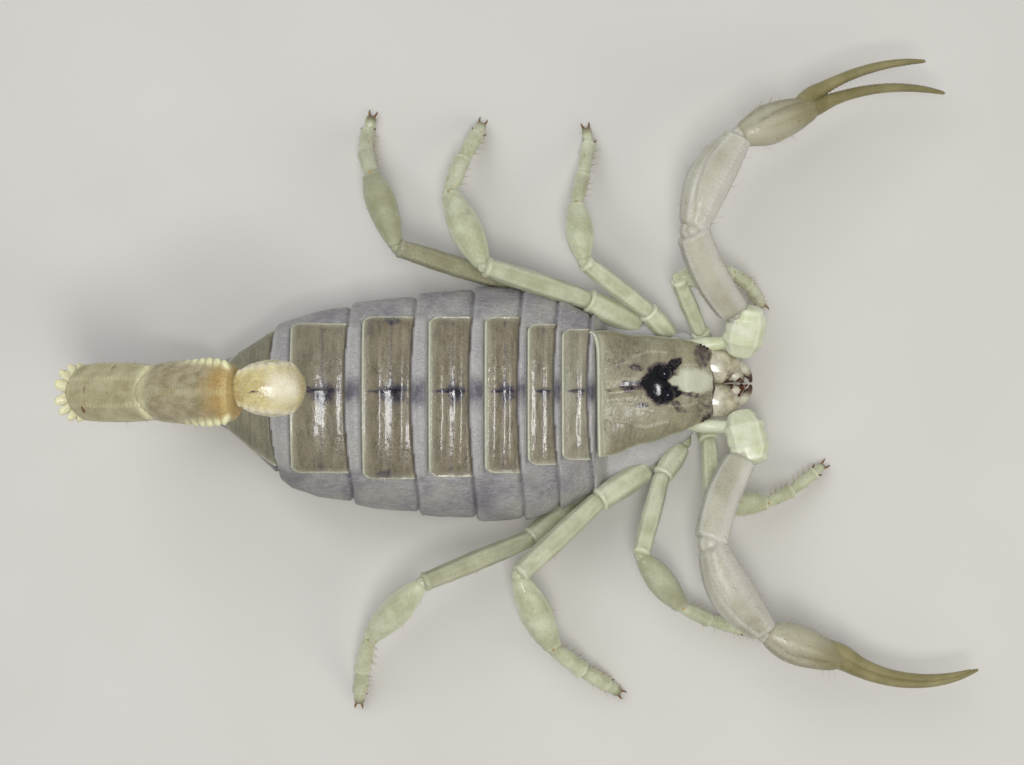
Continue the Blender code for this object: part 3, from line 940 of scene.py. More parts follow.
@dataclass
class Trunk:
    """The swollen trunk: one soft skin, seven plates on its back and five under it."""

    finishes: Finishes
    shape: BodyShape = field(default_factory=BodyShape)
    midline: float = -0.42
    plate_corner: float = 0.55
    fold_lean: float = 0.36
    rear_lap: float = 0.985
    belly_half_width: float = 3.4
    plates: tuple[BackPlateSize, ...] = (
        BackPlateSize(0.22, 2.71, -3.91, 0.0, ((0.35, 0.04, 0.2), (0.78, 0.08, 0.14)), dark=0.4, milky=0.22),
        BackPlateSize(0.18, 2.96, -4.15, 0.0, ((0.35, 0.05, 0.15), (0.75, 0.06, 0.12)), dark=0.4, milky=0.08),
        BackPlateSize(0.19, 3.31, -4.55, 0.0, ((0.34, 0.09, 0.14), (0.78, 0.08, 0.11)), dark=0.66),
        BackPlateSize(
            0.24, 3.31, -4.75, 0.0, ((0.34, 0.11, 0.14), (0.80, 0.08, 0.10)), dark=0.72, smoke=0.28
        ),
        BackPlateSize(
            0.23, 3.31, -4.85, 0.0, ((0.36, 0.13, 0.15), (0.80, 0.09, 0.09)), dark=0.85, smoke=0.42
        ),
        BackPlateSize(0.21, 2.96, -4.55, 0.0, ((0.42, 0.12, 0.18), (0.84, 0.05, 0.08)), dark=0.7, milky=0.05),
        BackPlateSize(0.27, 2.83, -4.50, 0.63, ((0.40, 0.06, 0.25),), dark=0.1),
    )

    def sides(self, index: int, share: float) -> tuple[float, float]:
        """The y of a plate's left and right edges at a share of its segment, from front to rear.

        Args:
            index: of the plate.
            share: of its segment.

        Returns:
            Left and right.
        """
        size = self.plates[index]
        middle = (size.left + size.right) / 2
        half = (size.left - size.right) / 2 * (1 - size.narrowing * share**1.4)
        drawn = middle + (self.shape.rear_y - middle) * size.narrowing * share
        return drawn + half, drawn - half

    def bare_at(self, index: int, y: float) -> float:
        """The share of a segment that the one before overlaps, less at the sides."""
        aside = (y - self.midline) / self.shape.half_widths[index]
        return self.plates[index].bare - self.fold_lean * min(1.0, aside * aside) / self.shape.lengths[index]

    def skin_relief(self, x: float, angle: float, point: Vector) -> Relief:
        """How far the soft skin stands out, its pale mark and its dark mark.

        Args:
            x: how far forwards it is.
            angle: the angle round the trunk, a quarter turn at its crest.
            point: the plain outline there.

        Returns:
            The skin's height over the outline, its pale mark and its dark mark.
        """
        place = self.shape.place_of(x)
        wrinkle = 0.035 * rough(point, 0.55) + 0.02 * abs(rough(point, 0.22, 5))
        if place < 0:
            # The hips' skin ahead of the trunk is painted paler towards its top: a painted sheen.
            return wrinkle - 0.02, min(0.85, 0.8 * max(0.0, math.sin(angle) + 0.4)), 0.0
        index = min(int(place), 6)
        share, length = place - index, self.shape.lengths[index]
        bare = self.bare_at(index, point.y)
        behind = (share - bare) * length
        if share < bare:
            before = (share + 1 - self.plates[index - 1].bare) if index else 0.9
        else:
            before = (share - bare) * 0.95
        upper = math.sin(angle)
        tile = min(1.0, before)
        seam = bell(behind, 0.05, 0.09) * (behind > -0.06)
        flank = 0.21 * tile**0.7 - 0.10 - 0.17 * seam
        murk = step(0.0, 0.5, rough(Vector((point.x, point.y, 0)), 1.7, 17))
        murk = murk * step(2.8, 4.6, abs(point.y - self.midline)) * (0.5 if point.y < 0 else 0.25)
        flank += 0.05 * rough(Vector((point.x * 0.5, point.y, point.z * 1.5)), 0.9, 3)
        # Painted shadow: a dark line where each segment's soft band laps over the front edge of the next
        # plate, running on down the flanks.
        line = bell(behind, 0.05, 0.05)
        if upper <= 0:
            under = step(0.15, 0.6, -upper)
            out = flank * (1 - under) - 0.10 * under + wrinkle * (1 - 0.7 * under)
            return out, 0.0, max(murk, 0.35 * line) * (1 - under)
        left, right = self.sides(index, share)
        inside = step(0.0, 0.35, min(left - point.y, point.y - right))
        ahead = min(1.0, max(0.0, share / max(0.02, bare)))
        band = 0.06 + 0.09 * math.sin(math.pi * min(1.0, ahead * 0.8 + 0.05)) if share < bare else -0.17
        middle = bell(point.y, self.midline, 0.55) * (1.1 + 0.7 * rough(point, 0.3, 31))
        dark = 1.15 * middle * inside * bell(ahead, 0.5, 0.6) if share < bare else 0.0
        pale = inside * (0.32 + 0.45 * bell(ahead, 0.86, 0.13)) * (share < bare) * (1 - min(1.0, middle))
        pale += 0.22 * bell(behind, -0.10, 0.08) * (1 - inside)
        out = flank * (1 - inside) + band * inside + wrinkle * (1 - 0.6 * inside)
        rear = 0.3 if index == 6 else 0.85
        # The painted shadow line is fainter on the flanks and under the last plate.
        line *= 0.42 * (1 - inside) + rear * inside
        return out, min(1.0, pale), min(1.0, dark + murk * (1 - inside) + line)

    def skin(self) -> None:
        """The soft skin from the tail's root to the jaws, closed at both ends."""

        def spot(along: float, angle: float) -> Spot:
            """The skin's spot there."""
            x = self.shape.rear_x + (self.shape.nose_x - self.shape.rear_x) * along
            point = self.shape.skin_point(x, angle)
            out, edge, pigment_and_shade = self.skin_relief(x, angle, point)
            point += self.shape.outward(x, angle) * out
            point.z = max(point.z, 0.03)
            return Spot(point, edge, pigment_and_shade, along)

        skin = Skin()
        skin.shell(190, 300, spot)
        nodes = ["coxosternum", *(f"mesosoma_{number}" for number in range(1, 8))]
        skin.place("body_skin", [self.finishes.skin], "side_membrane", nodes)

    def plate_relief(self, index: int, share: float, point: Vector, gap: float, across: float) -> Relief:
        """How far a plate stands out and its marks.

        Args:
            index: which plate, from 0 at the front.
            share: the place along it, from 0 at its rear edge to 1 in front.
            point: where it is.
            gap: the distance in from its rear or side edge.
            across: from -1 at its right edge to 1 at its left.

        Returns:
            Its height over the trunk's outline, its pale mark and its dark mark.
        """
        size = self.plates[index]
        length = self.shape.lengths[index] * (1 - size.bare)
        bowed = share + 0.07 * across**2 - 0.03 * across
        ridges = sum(height * bell(bowed, place, width) for place, height, width in size.ridges)
        ridges *= 1 - step(0.72, 1.0, abs(across)) * 0.8
        height = 0.02 + ridges + 0.05 * bell(gap, 0.09, 0.07)
        height -= 0.22 * (1 - step(0.0, 0.09, gap)) + 0.16 * (1 - step(0.0, 0.12, (1 - share) * length))
        stretched = Vector((point.x * 2.6, point.y * 0.55, 0))
        height += 0.018 * rough(stretched, 0.8, index) + 0.008 * rough(point, 0.25, 3)
        aside = point.y - self.midline
        height += 0.03 * bell(aside, 0, 0.07) * bell(share, 0.5, 0.35)
        painted_groove_shade = bell(bowed, 0.60, 0.035) + 0.7 * bell(bowed, 0.93, 0.03)
        line = 0.85 * bell(aside, 0.04 * rough(point, 0.4), 0.06) * bell(share, 0.5, 0.42)
        cloud = size.dark * bell(aside + 0.10, 0, 0.52) * bell(share, 0.66, 0.28)
        cloud *= 1 + 0.7 * rough(point, 0.42, 41)
        # Painted shade in the grooves between the cross ridges.
        cloud += 0.30 * painted_groove_shade * step(0.1, 0.5, abs(aside)) * (1 - step(0.8, 1.0, abs(across)))
        smoke = size.smoke * step(0.25, 0.8, abs(across)) * (1 - step(0.5, 0.9, gap))
        cloud += smoke * step(-0.3, 0.5, rough(point, 0.9, 21))
        edge = bell(gap, 0.07, 0.075) * 0.95 + 0.22 * bell(gap, 0.2, 0.2)
        edge = max(edge, size.milky * (1 + 0.8 * rough(point, 0.8, 51)))
        pigment_and_shade = min(1.0, line * (1.0 if index < 6 else 0.2) + cloud) * (1 - edge)
        return height, edge * step(0.0, 0.06, (1 - share) * length), pigment_and_shade

    def back_plate(self, index: int) -> None:
        """One plate of the back, with a raised pale rim at its rear and sides.

        Args:
            index: from the front.
        """
        size, length = self.plates[index], self.shape.lengths[index]

        def spot(u: float, v: float) -> Spot:
            """The plate's spot there."""
            share = (u + 1) / 2
            wide = (size.left + size.right) / 2 + v * (size.left - size.right) / 2
            place = index + self.rear_lap + (self.bare_at(index, wide) - self.rear_lap) * share
            left, right = self.sides(index, place - index)
            behind = (u + 1) / 2 * length * (1 - size.bare)
            drawn = rounded_off(self.plate_corner, behind)
            left, right = left - drawn, right + drawn
            first, last = self.shape.angle_at(place, right), self.shape.angle_at(place, left)
            angle = first + (last - first) * (v + 1) / 2
            point = self.shape.point(place, angle)
            gap = min(behind, (1 - abs(v)) * (left - right) / 2)
            height, edge, pigment_and_shade = self.plate_relief(index, share, point, gap, v)
            under_shield = index == 0 and share >= 0.6
            normal = UP if under_shield else self.shape.outward(self.shape.x_of(place), angle)
            return Spot(point + normal * height, edge, pigment_and_shade, share)

        skin = Skin()
        skin.plate(150, max(34, round(length * 20)), spot, 0.09)
        finish = self.finishes.rear_plate if index == 6 else self.finishes.plate
        skin.place(f"back_plate_{index + 1}", [finish], "back_plate")

    def belly_plate(self, index: int) -> None:
        """One plate under the trunk, with a breathing slit on each side.

        Args:
            index: from the front.
        """

        def spot(u: float, v: float) -> Spot:
            """The plate's spot there."""
            share = (u + 1) / 2
            place = min(6.97, index + 0.97 - 0.92 * share)
            angle = math.pi * 1.5 + v * math.radians(50 - (14 if index == 6 else 0) * (1 - share))
            point = self.shape.point(place, angle)
            half = self.belly_half_width
            gap = min((1 - abs(v)) * half, (1 - abs(u)) * self.shape.lengths[index] / 2)
            slit = math.hypot((abs(v) - 0.62) * half / 0.30, (share - 0.55) * 2.2 / 0.14)
            if index == 6:
                slit = 9.0
            height = -0.11 + 0.10 * step(0.0, 0.12, gap) - 0.05 * bell(slit, 0, 1.0)
            edge = 0.5 * bell(gap, 0.08, 0.08)
            point += self.shape.outward(self.shape.x_of(place), angle) * height
            point.z = max(0.0, point.z)
            return Spot(point, edge, 0.8 * bell(slit, 0, 0.9), share)

        skin = Skin()
        skin.plate(80, 40, spot, 0.06)
        skin.place(f"belly_plate_{index - 1}", [self.finishes.belly], "back_plate")

    def build(self) -> None:
        """Makes the trunk."""
        self.skin()
        for index in range(7):
            self.back_plate(index)
        for index in range(2, 7):
            self.belly_plate(index)


# ---- head
class Blot(NamedTuple):
    """A soft-edged oval of pigment on the head's plate: where it is, its half sizes and its darkness."""

    x: float
    y: float
    long: float
    wide: float
    dark: float
    turn: float = 0.0

    def at(self, x: float, y: float) -> float:
        """How dark it is there.

        Args:
            x: forwards.
            y: to the left.

        Returns:
            From 0 to its darkness.
        """
        turn = math.radians(self.turn)
        ahead = (x - self.x) * math.cos(turn) + (y - self.y) * math.sin(turn)
        aside = (y - self.y) * math.cos(turn) - (x - self.x) * math.sin(turn)
        reach = math.hypot(ahead / self.long, aside / self.wide)
        return self.dark * (1 - step(0.72, 1.22, reach))


@dataclass
class Head:
    """The head: its shield with the eyes, the jaws in front and the arms' hip straps beside them."""

    finishes: Finishes
    rear_x: float = HEAD_REAR_X
    length: float = 5.98
    rear_y: float = -0.60
    yaw: float = math.tan(math.radians(6))
    rim_z: float = 3.02
    corner: float = 0.45
    hill: tuple[float, float] = (7.45, -0.05)
    hill_size: float = 0.80
    keel_width: float = 0.075
    keel_pitch: float = 0.17
    half_widths: Table = (
        (0.0, 3.15), (0.12, 3.10), (0.40, 2.73), (0.72, 2.40), (0.90, 2.15), (1.0, 1.98)
    )
    crests: Table = ((0.0, 4.35), (0.30, 4.50), (0.55, 4.55), (0.75, 4.15), (1.0, 3.50))
    keels: tuple[Table, ...] = (
        ((5.15, 1.40), (5.75, 1.50), (6.2, 1.78), (6.7, 1.90), (7.2, 1.86), (7.75, 1.72)),
        ((4.65, 0.62), (5.1, 0.55), (5.6, 0.60), (6.1, 0.66)),
        ((7.9, 0.95), (8.4, 1.02), (8.9, 1.0), (9.4, 0.92)),
        ((4.62, 0.62), (4.58, 1.1), (4.66, 1.6), (4.9, 2.1)),
    )
    blots: tuple[Blot, ...] = (
        Blot(7.42, -0.06, 0.84, 1.06, 1.15),
        Blot(6.85, -0.12, 0.55, 0.42, 0.95),
        Blot(8.02, 0.88, 0.56, 0.27, 0.82, 26),
        Blot(7.80, 0.62, 0.34, 0.26, 1.0, 30),
        Blot(8.15, -0.55, 0.42, 0.22, 0.95, 0),
        Blot(6.02, -0.20, 0.62, 0.31, 0.73),
        Blot(6.15, 0.74, 0.40, 0.16, 0.58, -8),
        Blot(6.48, -1.10, 0.32, 0.12, 0.70, 4),
        Blot(8.30, -1.22, 0.48, 0.20, 0.52, -38),
        Blot(8.95, -0.62, 0.55, 0.13, 0.45, -8),
        Blot(9.58, 1.34, 0.50, 0.66, 0.50, 20),
        Blot(9.72, -1.25, 0.56, 0.84, 0.34, -12),
        Blot(9.84, -1.80, 0.38, 0.20, 0.60, 25),
        Blot(9.42, 1.74, 0.34, 0.17, 0.42, -22),
        Blot(10.15, -0.85, 0.08, 0.95, 0.72),
        Blot(10.12, 0.6, 0.06, 1.0, 0.50),
        Blot(5.7, 1.3, 1.2, 1.2, 0.26),
        Blot(5.3, -2.2, 0.9, 0.9, 0.21),
        Blot(4.75, -0.40, 0.18, 0.09, 0.45),
    )
    pale: tuple[Blot, ...] = (Blot(9.10, 0.06, 0.98, 0.70, 0.9), Blot(8.34, 0.07, 0.62, 0.32, 0.95))

    def middle(self, place: float) -> float:
        """The y of the head's middle at a place from 0 at its rear to 1 in front."""
        return self.rear_y + self.yaw * place * self.length

    def top(self, place: float, across: float) -> Vector:
        """A point of the shield's plain outline, across from -1 at its right edge to 1 at its left.

        Args:
            place: from 0 at its rear to 1.
            across: from -1 to 1.

        Returns:
            The point.
        """
        angle = (1 - across) / 2 * math.pi
        half, crest = ease(self.half_widths, place), ease(self.crests, place)
        round_front = (0.84 + 0.12 * across) * abs(across) ** 3.6 * step(0.55, 1.0, place)
        corner = (0.62 * max(0.0, across) ** 4 - 0.08 * max(0.0, -across)) * (1 - place) ** 2
        raised = 1.28 * (1 - step(0.0, 0.24, place)) * (1 - math.sin(angle) ** 0.75)
        x = self.rear_x + place * self.length - round_front - corner - 0.06 * across * place
        y = self.middle(place) + half * squared(math.cos(angle), 0.8)
        return Vector((x, y, self.rim_z + (crest - self.rim_z) * math.sin(angle) ** 0.75 + raised))

    def keel_at(self, x: float, aside: float) -> float:
        """How much of a grained keel there is at that x and distance from the middle.

        Args:
            x: forwards.
            aside: from the middle.

        Returns:
            From 0 to 1.
        """
        most = 0.0
        here = Vector((x, abs(aside)))
        for line in self.keels:
            for start, end in zip(line, line[1:]):
                first, span = Vector(start), Vector(end) - Vector(start)
                share = min(1.0, max(0.0, (here - first).dot(span) / span.length_squared))
                grain = 0.55 + 0.45 * math.cos((x + abs(aside)) * math.tau / self.keel_pitch)
                most = max(most, bell((here - first - span * share).length, 0, self.keel_width) * grain)
        return most

    def shield(self) -> None:
        """The head's shield, with its eye hill, furrow, grained keels, pigment and pale rim."""

        def spot(u: float, v: float) -> Spot:
            """The shield's spot there."""
            place = (u + 1) / 2
            behind = place * self.length
            across = v * (1 - rounded_off(self.corner, behind) / self.half_widths[0][1])
            point = self.top(place, across)
            aside = point.y - self.middle(place)
            half = ease(self.half_widths, place)
            gap = min(behind, (1 - abs(v) ** 1.6) * half * 0.62)
            front = (1 - place) * self.length
            keel = self.keel_at(point.x, aside)
            ahead = (point.x - self.hill[0]) / self.hill_size
            beside = (point.y - self.hill[1]) / self.hill_size
            hill = math.exp(-(ahead**2) - beside**2)
            height = 0.17 * hill + 0.06 * keel
            height -= 0.10 * bell(aside, 0, 0.16) * (1 - step(6.3, 6.8, point.x)) * step(4.5, 4.9, point.x)
            height -= 0.05 * bell(aside, 0, 0.25) * step(8.4, 8.9, point.x)
            height += 0.05 * bell(gap, 0.10, 0.08) - 0.05 * bell(gap, 0.3, 0.12)
            height -= 0.12 * (1 - step(0.0, 0.09, gap)) + 0.10 * (1 - step(0.0, 0.12, front))
            height += 0.07 * rough(point, 1.3, 2) + 0.02 * max(0.0, rough(point, 0.16, 8)) * (1 - hill)
            warped = (point.x + 0.13 * rough(point, 0.35, 4), point.y + 0.13 * rough(point, 0.35, 9))
            light = max(blot.at(*warped) for blot in self.pale)
            pigment_and_shade = max(blot.at(*warped) for blot in self.blots) * (1 - self.pale[1].at(*warped))
            if pigment_and_shade < 0.8:
                pigment_and_shade *= 0.95 + 0.6 * rough(point, 0.20, 6)
            edge = max(0.95 * bell(gap, 0.07, 0.10), 0.3 * bell(gap, 0.2, 0.25), 0.45 * keel, light * 0.9)
            pigment_and_shade = pigment_and_shade * (1 - 0.9 * bell(gap, 0.05, 0.12))
            tilt = Vector((0, aside / half * 0.7, 1)).normalized()
            return Spot(point + tilt * height, edge * (1 - min(1.0, pigment_and_shade)), pigment_and_shade, place)

        skin = Skin()
        skin.plate(210, 190, spot, 0.12)
        skin.place("head_shield", [self.finishes.head], "back_plate", ["carapace"])

    def dome(self, skin: Skin, seat: Vector, gaze: Vector, radius: float, size: int) -> None:
        """Adds a lens: a bead half sunk in its seat.

        Args:
            skin: that gets it.
            seat: its middle.
            gaze: the way it looks.
            radius: the bead's.
            size: points round it and along it.
        """
        gaze = gaze.normalized()
        path = Path([seat + gaze * radius * lift for lift in (-1, -0.5, 0, 0.5, 1)], [radius] * 5)

        def relief(along: float, _angle: float) -> Relief:
            """The lens's round."""
            lift = along * 2 - 1
            return radius * (math.sqrt(max(0.0, 1 - lift * lift)) - 1), 0.0, 0.0

        skin.shell(size, size, path.surface(relief=relief, side=Vector((1, 0, 0.01))))

    def eyes(self) -> None:
        """Two big lenses on the hill and three small ones at each front corner."""
        for side in Side:
            skin = Skin()
            seat = self.top(0.515, 0.0) + Vector((0.36 - side.value * 0.09, 0.20 + side.value * 0.53, 0.02))
            self.dome(skin, seat, Vector((0.1, side.value * 0.5, 1)), 0.38, 30)
            word = side.name.lower()
            skin.place(f"eye_{word}_lens", [self.finishes.eye], "eye_lens", [f"eye_{word}"])
            skin = Skin()
            for place, across, radius in ((0.968, 0.60, 0.06), (0.948, 0.645, 0.06), (0.925, 0.685, 0.055)):
                point = self.top(place, across * side.value)
                self.dome(skin, point, Vector((0.5, side.value, 0.6)), radius, 12)
            skin.place(f"side_eyes_{word}", [self.finishes.eye], "eye_lens")

    def jaw(self, side: Side) -> None:
        """One jaw: a glassy bulb, a fixed finger and a movable one with brown teeth between them.

        Args:
            side: the jaw's.
        """
        out = side.value
        root = Vector((9.55, out * 0.88 - 0.05, 2.85))
        rows = (
            (0.0, 0.70, 0.0), (0.5, 0.84, 0.0), (0.95, 0.87, 0.03), (1.4, 0.78, 0.14), (1.8, 0.58, 0.32),
            (2.1, 0.36, 0.46),
        )
        points = [root + Vector((ahead, -out * toe, -0.02 * ahead)) for ahead, _, toe in rows]
        bulb = Path(points, [half for _, half, _ in rows])

        def relief(along: float, angle: float) -> Relief:
            """The bulb's relief."""
            up = max(0.0, math.sin(angle))
            cloud = step(-0.1, 0.4, rough(Vector((along * 6, angle, out)), 0.8))
            freckle = 0.5 * step(0.45, 1.0, along) * up * cloud
            inward = bell(apart(angle, math.pi / 2 + out * 0.9), 0, 0.75)
            reached = along - (0.0 if side is Side.LEFT else 0.10)
            reached += 0.1 * rough(Vector((angle, along * 9, out)), 0.5)
            freckle = max(freckle, 1.1 * inward * step(0.50, 0.66, reached))
            ridge = bell(angle, math.pi / 2 + out * 0.5, 0.25)
            height = 0.02 * math.sin(along * 9 + angle) + 0.03 * ridge
            # The top of the bulb near its root is painted pale: a painted highlight.
            return height, 0.35 * bell(along, 0.30, 0.16) * up, freckle

        skin = Skin()
        skin.shell(48, 40, bulb.surface(0.82, relief, blunt=0.12))
        lines = (
            (
                (1.35, 0.10, 0.02), (1.8, 0.02, 0.06), (2.15, -0.18, 0.08), (2.42, -0.46, 0.06),
                (2.56, -0.82, 0.02),
            ),
            ((1.3, -0.38, 0.16), (1.68, -0.46, 0.20), (1.95, -0.60, 0.16), (2.10, -0.84, 0.10)),
        )
        for line in lines:
            places = [root + Vector((ahead, out * aside, up)) for ahead, aside, up in line]
            radii = [0.34, 0.32, 0.26, 0.17, 0.05][: len(line) - 1] + [0.05]

            def finger_relief(along: float, angle: float) -> Relief:
                """A jaw finger's relief."""
                inner = bell(apart(angle, math.pi / 2 + out * math.pi / 2), 0, 0.8)
                tooth = inner * abs(math.sin(along * math.pi * 3.5)) * 0.06
                brown = min(1.0, 1.2 * step(0.5, 0.95, along) + 0.7 * inner)
                return tooth, 0.25 * bell(along, 0.4, 0.2), brown

            skin.shell(22, 24, Path(places, radii).surface(1.0, finger_relief, blunt=0.1))
        teeth = (
            (1.50, -0.16, 1.90, -0.42), (1.62, -0.44, 2.08, -0.50), (1.86, -0.34, 2.24, -0.66),
            (2.02, -0.62, 2.40, -0.84), (1.40, -0.44, 1.62, -0.74), (1.20, -0.30, 1.50, -0.52),
            (1.72, -0.20, 2.02, -0.30),
        )
        drawn = 0.26 if side is Side.LEFT else 0.06
        for ahead, aside, tip_ahead, tip_aside in teeth:
            start = root + Vector((ahead - drawn, out * aside, 0.32))
            skin.spike(start, root + Vector((tip_ahead - drawn, out * tip_aside, 0.46)), 0.15, 1, 8)
        word = side.name.lower()
        finishes = [self.finishes.jaw, self.finishes.tooth]
        skin.place(f"jaw_{word}", finishes, "jaw_cuticle", [f"chelicera_{word}"])

    def strap(self, side: Side) -> None:
        """The arm's hip: a green strap from under the shield's front corner.

        Args:
            side: the arm's.
        """
        out = side.value
        aside = -0.13
        points = [
            Vector((8.5, aside + out * 1.65, 2.45)), Vector((9.5, aside + out * 1.98, 2.85)),
            Vector((10.4, aside + out * 2.10, 3.05)), Vector((11.2, aside + out * 2.15, 3.2)),
        ]
        skin = Skin()
        skin.shell(32, 30, Path(points, [0.52, 0.42, 0.34, 0.36]).surface(1.0, blunt=0.1))
        skin.place(f"arm_hip_{side.name.lower()}", [self.finishes.armour], "arm_cuticle")

    def build(self) -> None:
        """Makes the head."""
        self.shield()
        self.eyes()
        for side in Side:
            self.jaw(side)
            self.strap(side)


# ---- limbs
class Keel(NamedTuple):
    """A grained ridge along a limb: its angle in degrees, height, width in degrees and grain pitch."""

    angle: float
    height: float
    width: float = 9.0
    pitch: float = 0.22

    def ridge(self, angle: float) -> float:
        """How much of the ridge there is at that angle, from 0 to 1."""
        return bell(apart(angle, math.radians(self.angle)), 0, math.radians(self.width))


@dataclass
class Tube:
    """One hard piece of a limb, rounded at both ends, that sits in the socket of the one before."""

    root: Vector
    direction: Vector
    length: float
    widths: tuple[float, float, float]
    depth: float = 1.0
    fullest: float = 0.5
    bow: float = 0.0
    square: float = 1.0
    back: float = 0.10
    ahead: float = 0.04
    collar: float = 0.05
    keels: tuple[Keel, ...] = ()
    teeth: float = 0.0
    tooth_pitch: float = 0.62
    faceted: bool = False
    fold: float | None = None
    painted_sheen_angle: float | None = None
    fades: bool = False
    shade: float = 0.0
    pigment_and_shade_end: float = 0.0

    def half_width(self, share: float) -> float:
        """Half of the width at a share of its length.

        Args:
            share: from 0 to 1.

        Returns:
            The half width.
        """
        root, full, end = self.widths
        if self.faceted:
            table = ((0.0, root), (self.fullest * 0.8, full), (0.78, full * 0.97), (1.0, end))
            for (low, first), (high, second) in zip(table, table[1:]):
                if share <= high:
                    return (first + (second - first) * (share - low) / (high - low)) / 2
        if share < self.fullest:
            return (root + (full - root) * math.sin(share / self.fullest * math.pi / 2)) / 2
        beyond = (share - self.fullest) / (1 - self.fullest)
        return (end + (full - end) * math.cos(beyond * math.pi / 2)) / 2

    def centre(self, distance: float) -> Vector:
        """A point of the middle line.

        Args:
            distance: from the root.

        Returns:
            The point.
        """
        share = min(1.0, max(0.0, distance / self.length))
        aside = level_side(self.direction) * self.bow * math.sin(math.pi * share)
        return self.root + self.direction * distance + aside

    def surface(self, along: float, angle: float) -> Spot:
        """The spot at that place and angle, 0 at its left and a quarter turn on top.

        Args:
            along: from 0 to 1.
            angle: round it.

        Returns:
            The spot.
        """
        full = self.length + self.back + self.ahead
        distance = -self.back + full * along
        share = min(1.0, max(0.0, distance / self.length))
        half = self.half_width(share)
        half += self.collar * bell(self.length - distance, 0.16, 0.12)
        ends = ((full * along, 0.55 * self.widths[0]), (full * (1 - along), 0.40 * self.widths[2]))
        for gap, reach in ends:
            end = min(1.0, gap / (0.12 if self.faceted else reach * 0.5 + 0.05))
            half *= math.sqrt(max(0.05, 1 - (1 - end) ** 2))
        side = level_side(self.direction)
        upward = self.direction.cross(side)
        across, up = squared(math.cos(angle), self.square), squared(math.sin(angle), self.square)
        edge = pigment_and_shade = 0.0
        out = 0.022 * rough(self.centre(distance) + side * across + upward * up, 0.7)
        for keel in self.keels:
            ridge = keel.ridge(angle)
            grain = 0.5 + 0.5 * math.cos(distance * math.tau / keel.pitch)
            ridge *= step(0.0, 0.12, min(share, 1 - share) + 0.04)
            out += keel.height * ridge * (0.35 + 0.65 * grain)
            edge = max(edge, 0.55 * ridge)
            dots = (1 - grain) * step(0.2, 0.5, ridge) * step(0.02, 0.04, keel.height)
            pigment_and_shade = max(pigment_and_shade, 0.30 * bell(ridge, 0.55, 0.3) * dots)
        if self.teeth:
            saw = abs(math.sin(distance * math.pi / self.tooth_pitch))
            out += self.teeth * saw * bell(abs(math.cos(angle)), 1, 0.16)
        # Painted glow: both sides, as seen from above, are painted pale for light coming through the thin
        # edges.
        painted_rim_glow = bell(abs(math.cos(angle)), 1, 0.10)
        edge = max(edge, 0.5 * bell(self.length - distance, 0.14, 0.10), 0.55 * painted_rim_glow)
        if self.fold is not None:
            line = apart(angle + 0.5 * (share - 0.5), math.radians(self.fold))
            # Painted shade: the fold's crease is painted dark.
            crease = 0.42 * bell(line, 0, 0.09) * step(0.1, 0.3, share) * (1 - step(0.75, 0.95, share))
            pigment_and_shade = max(pigment_and_shade, crease)
            out -= 0.035 * bell(line, 0, 0.14) * bell(share, 0.5, 0.4)
        # Painted sheen and shade: the side facing this angle is painted pale, and the side facing away dark.
        if self.painted_sheen_angle is not None:
            facing = math.cos(angle - math.radians(self.painted_sheen_angle))
            edge = max(edge, 0.55 * step(0.55, 0.95, facing))
            pigment_and_shade = max(pigment_and_shade, 0.30 * step(-0.2, 0.8, -facing))
        pigment_and_shade = max(pigment_and_shade, self.shade, self.pigment_and_shade_end * step(0.3, 1.0, share))
        if self.fades:
            edge *= 1 - step(0.45, 0.9, share)
        offset = side * across * (half + out) + upward * up * (half + out) * self.depth
        return Spot(self.centre(distance) + offset, edge, pigment_and_shade, share)

    def bristles(self, skin: Skin, number: int, longest: float, seed: int) -> None:
        """Adds fine hairs that lean towards the tip.

        Args:
            skin: that gets them.
            number: of hairs.
            longest: how long one may be.
            seed: of the dice.
        """
        dice = random.Random(seed)
        for _ in range(number):
            along, angle = dice.uniform(0.12, 0.92), dice.uniform(0, math.tau)
            spot = self.surface(along, angle)
            outward = (spot.point - self.centre(-self.back + along * self.length)).normalized()
            outward = (outward - self.direction * outward.dot(self.direction)).normalized()
            lean = (outward + self.direction * dice.uniform(0.5, 1.1)).normalized()
            tip = spot.point + lean * dice.uniform(0.45, 1.0) * longest
            if tip.z > 0.02:
                skin.spike(spot.point - outward * 0.02, tip, 0.011)


def ball(
    skin: Skin, centre: Vector, radius: float, finish: int = 0, squash: float = 1.0, shade: float = 0.0
) -> None:
    """Adds the soft skin of a joint: a small closed bulge.

    Args:
        skin: that gets it.
        centre: its middle.
        radius: its half width.
        finish: its material slot.
        squash: its height over its width.
        shade: how dark it is.
    """

    def spot(along: float, angle: float) -> Spot:
        """The bulge's spot there."""
        lift = math.cos(math.pi * (1 - (0.03 + 0.94 * along)))
        spread = math.sqrt(max(0.0, 1 - lift * lift))
        fold = 1 + 0.05 * math.sin(lift * 14)
        offset = Vector((math.cos(angle) * spread, math.sin(angle) * spread, lift * squash)) * radius * fold
        return Spot(centre + offset, 0.3 * abs(math.sin(lift * 7)) * (1 - shade), shade, along)

    skin.shell(24, 20, spot, finish)


class LegPose(NamedTuple):
    """Where a leg is: its hip, each piece's bearing, the rise of each but the last, how much shorter
    than usual each looks, and where its patella is widest."""

    hip: tuple[float, float, float]
    bearings: tuple[float, ...]
    rises: tuple[float, ...]
    drawn_in: tuple[float, ...] = (1, 1, 1, 1, 1, 1)
    fullest: float = 0.5


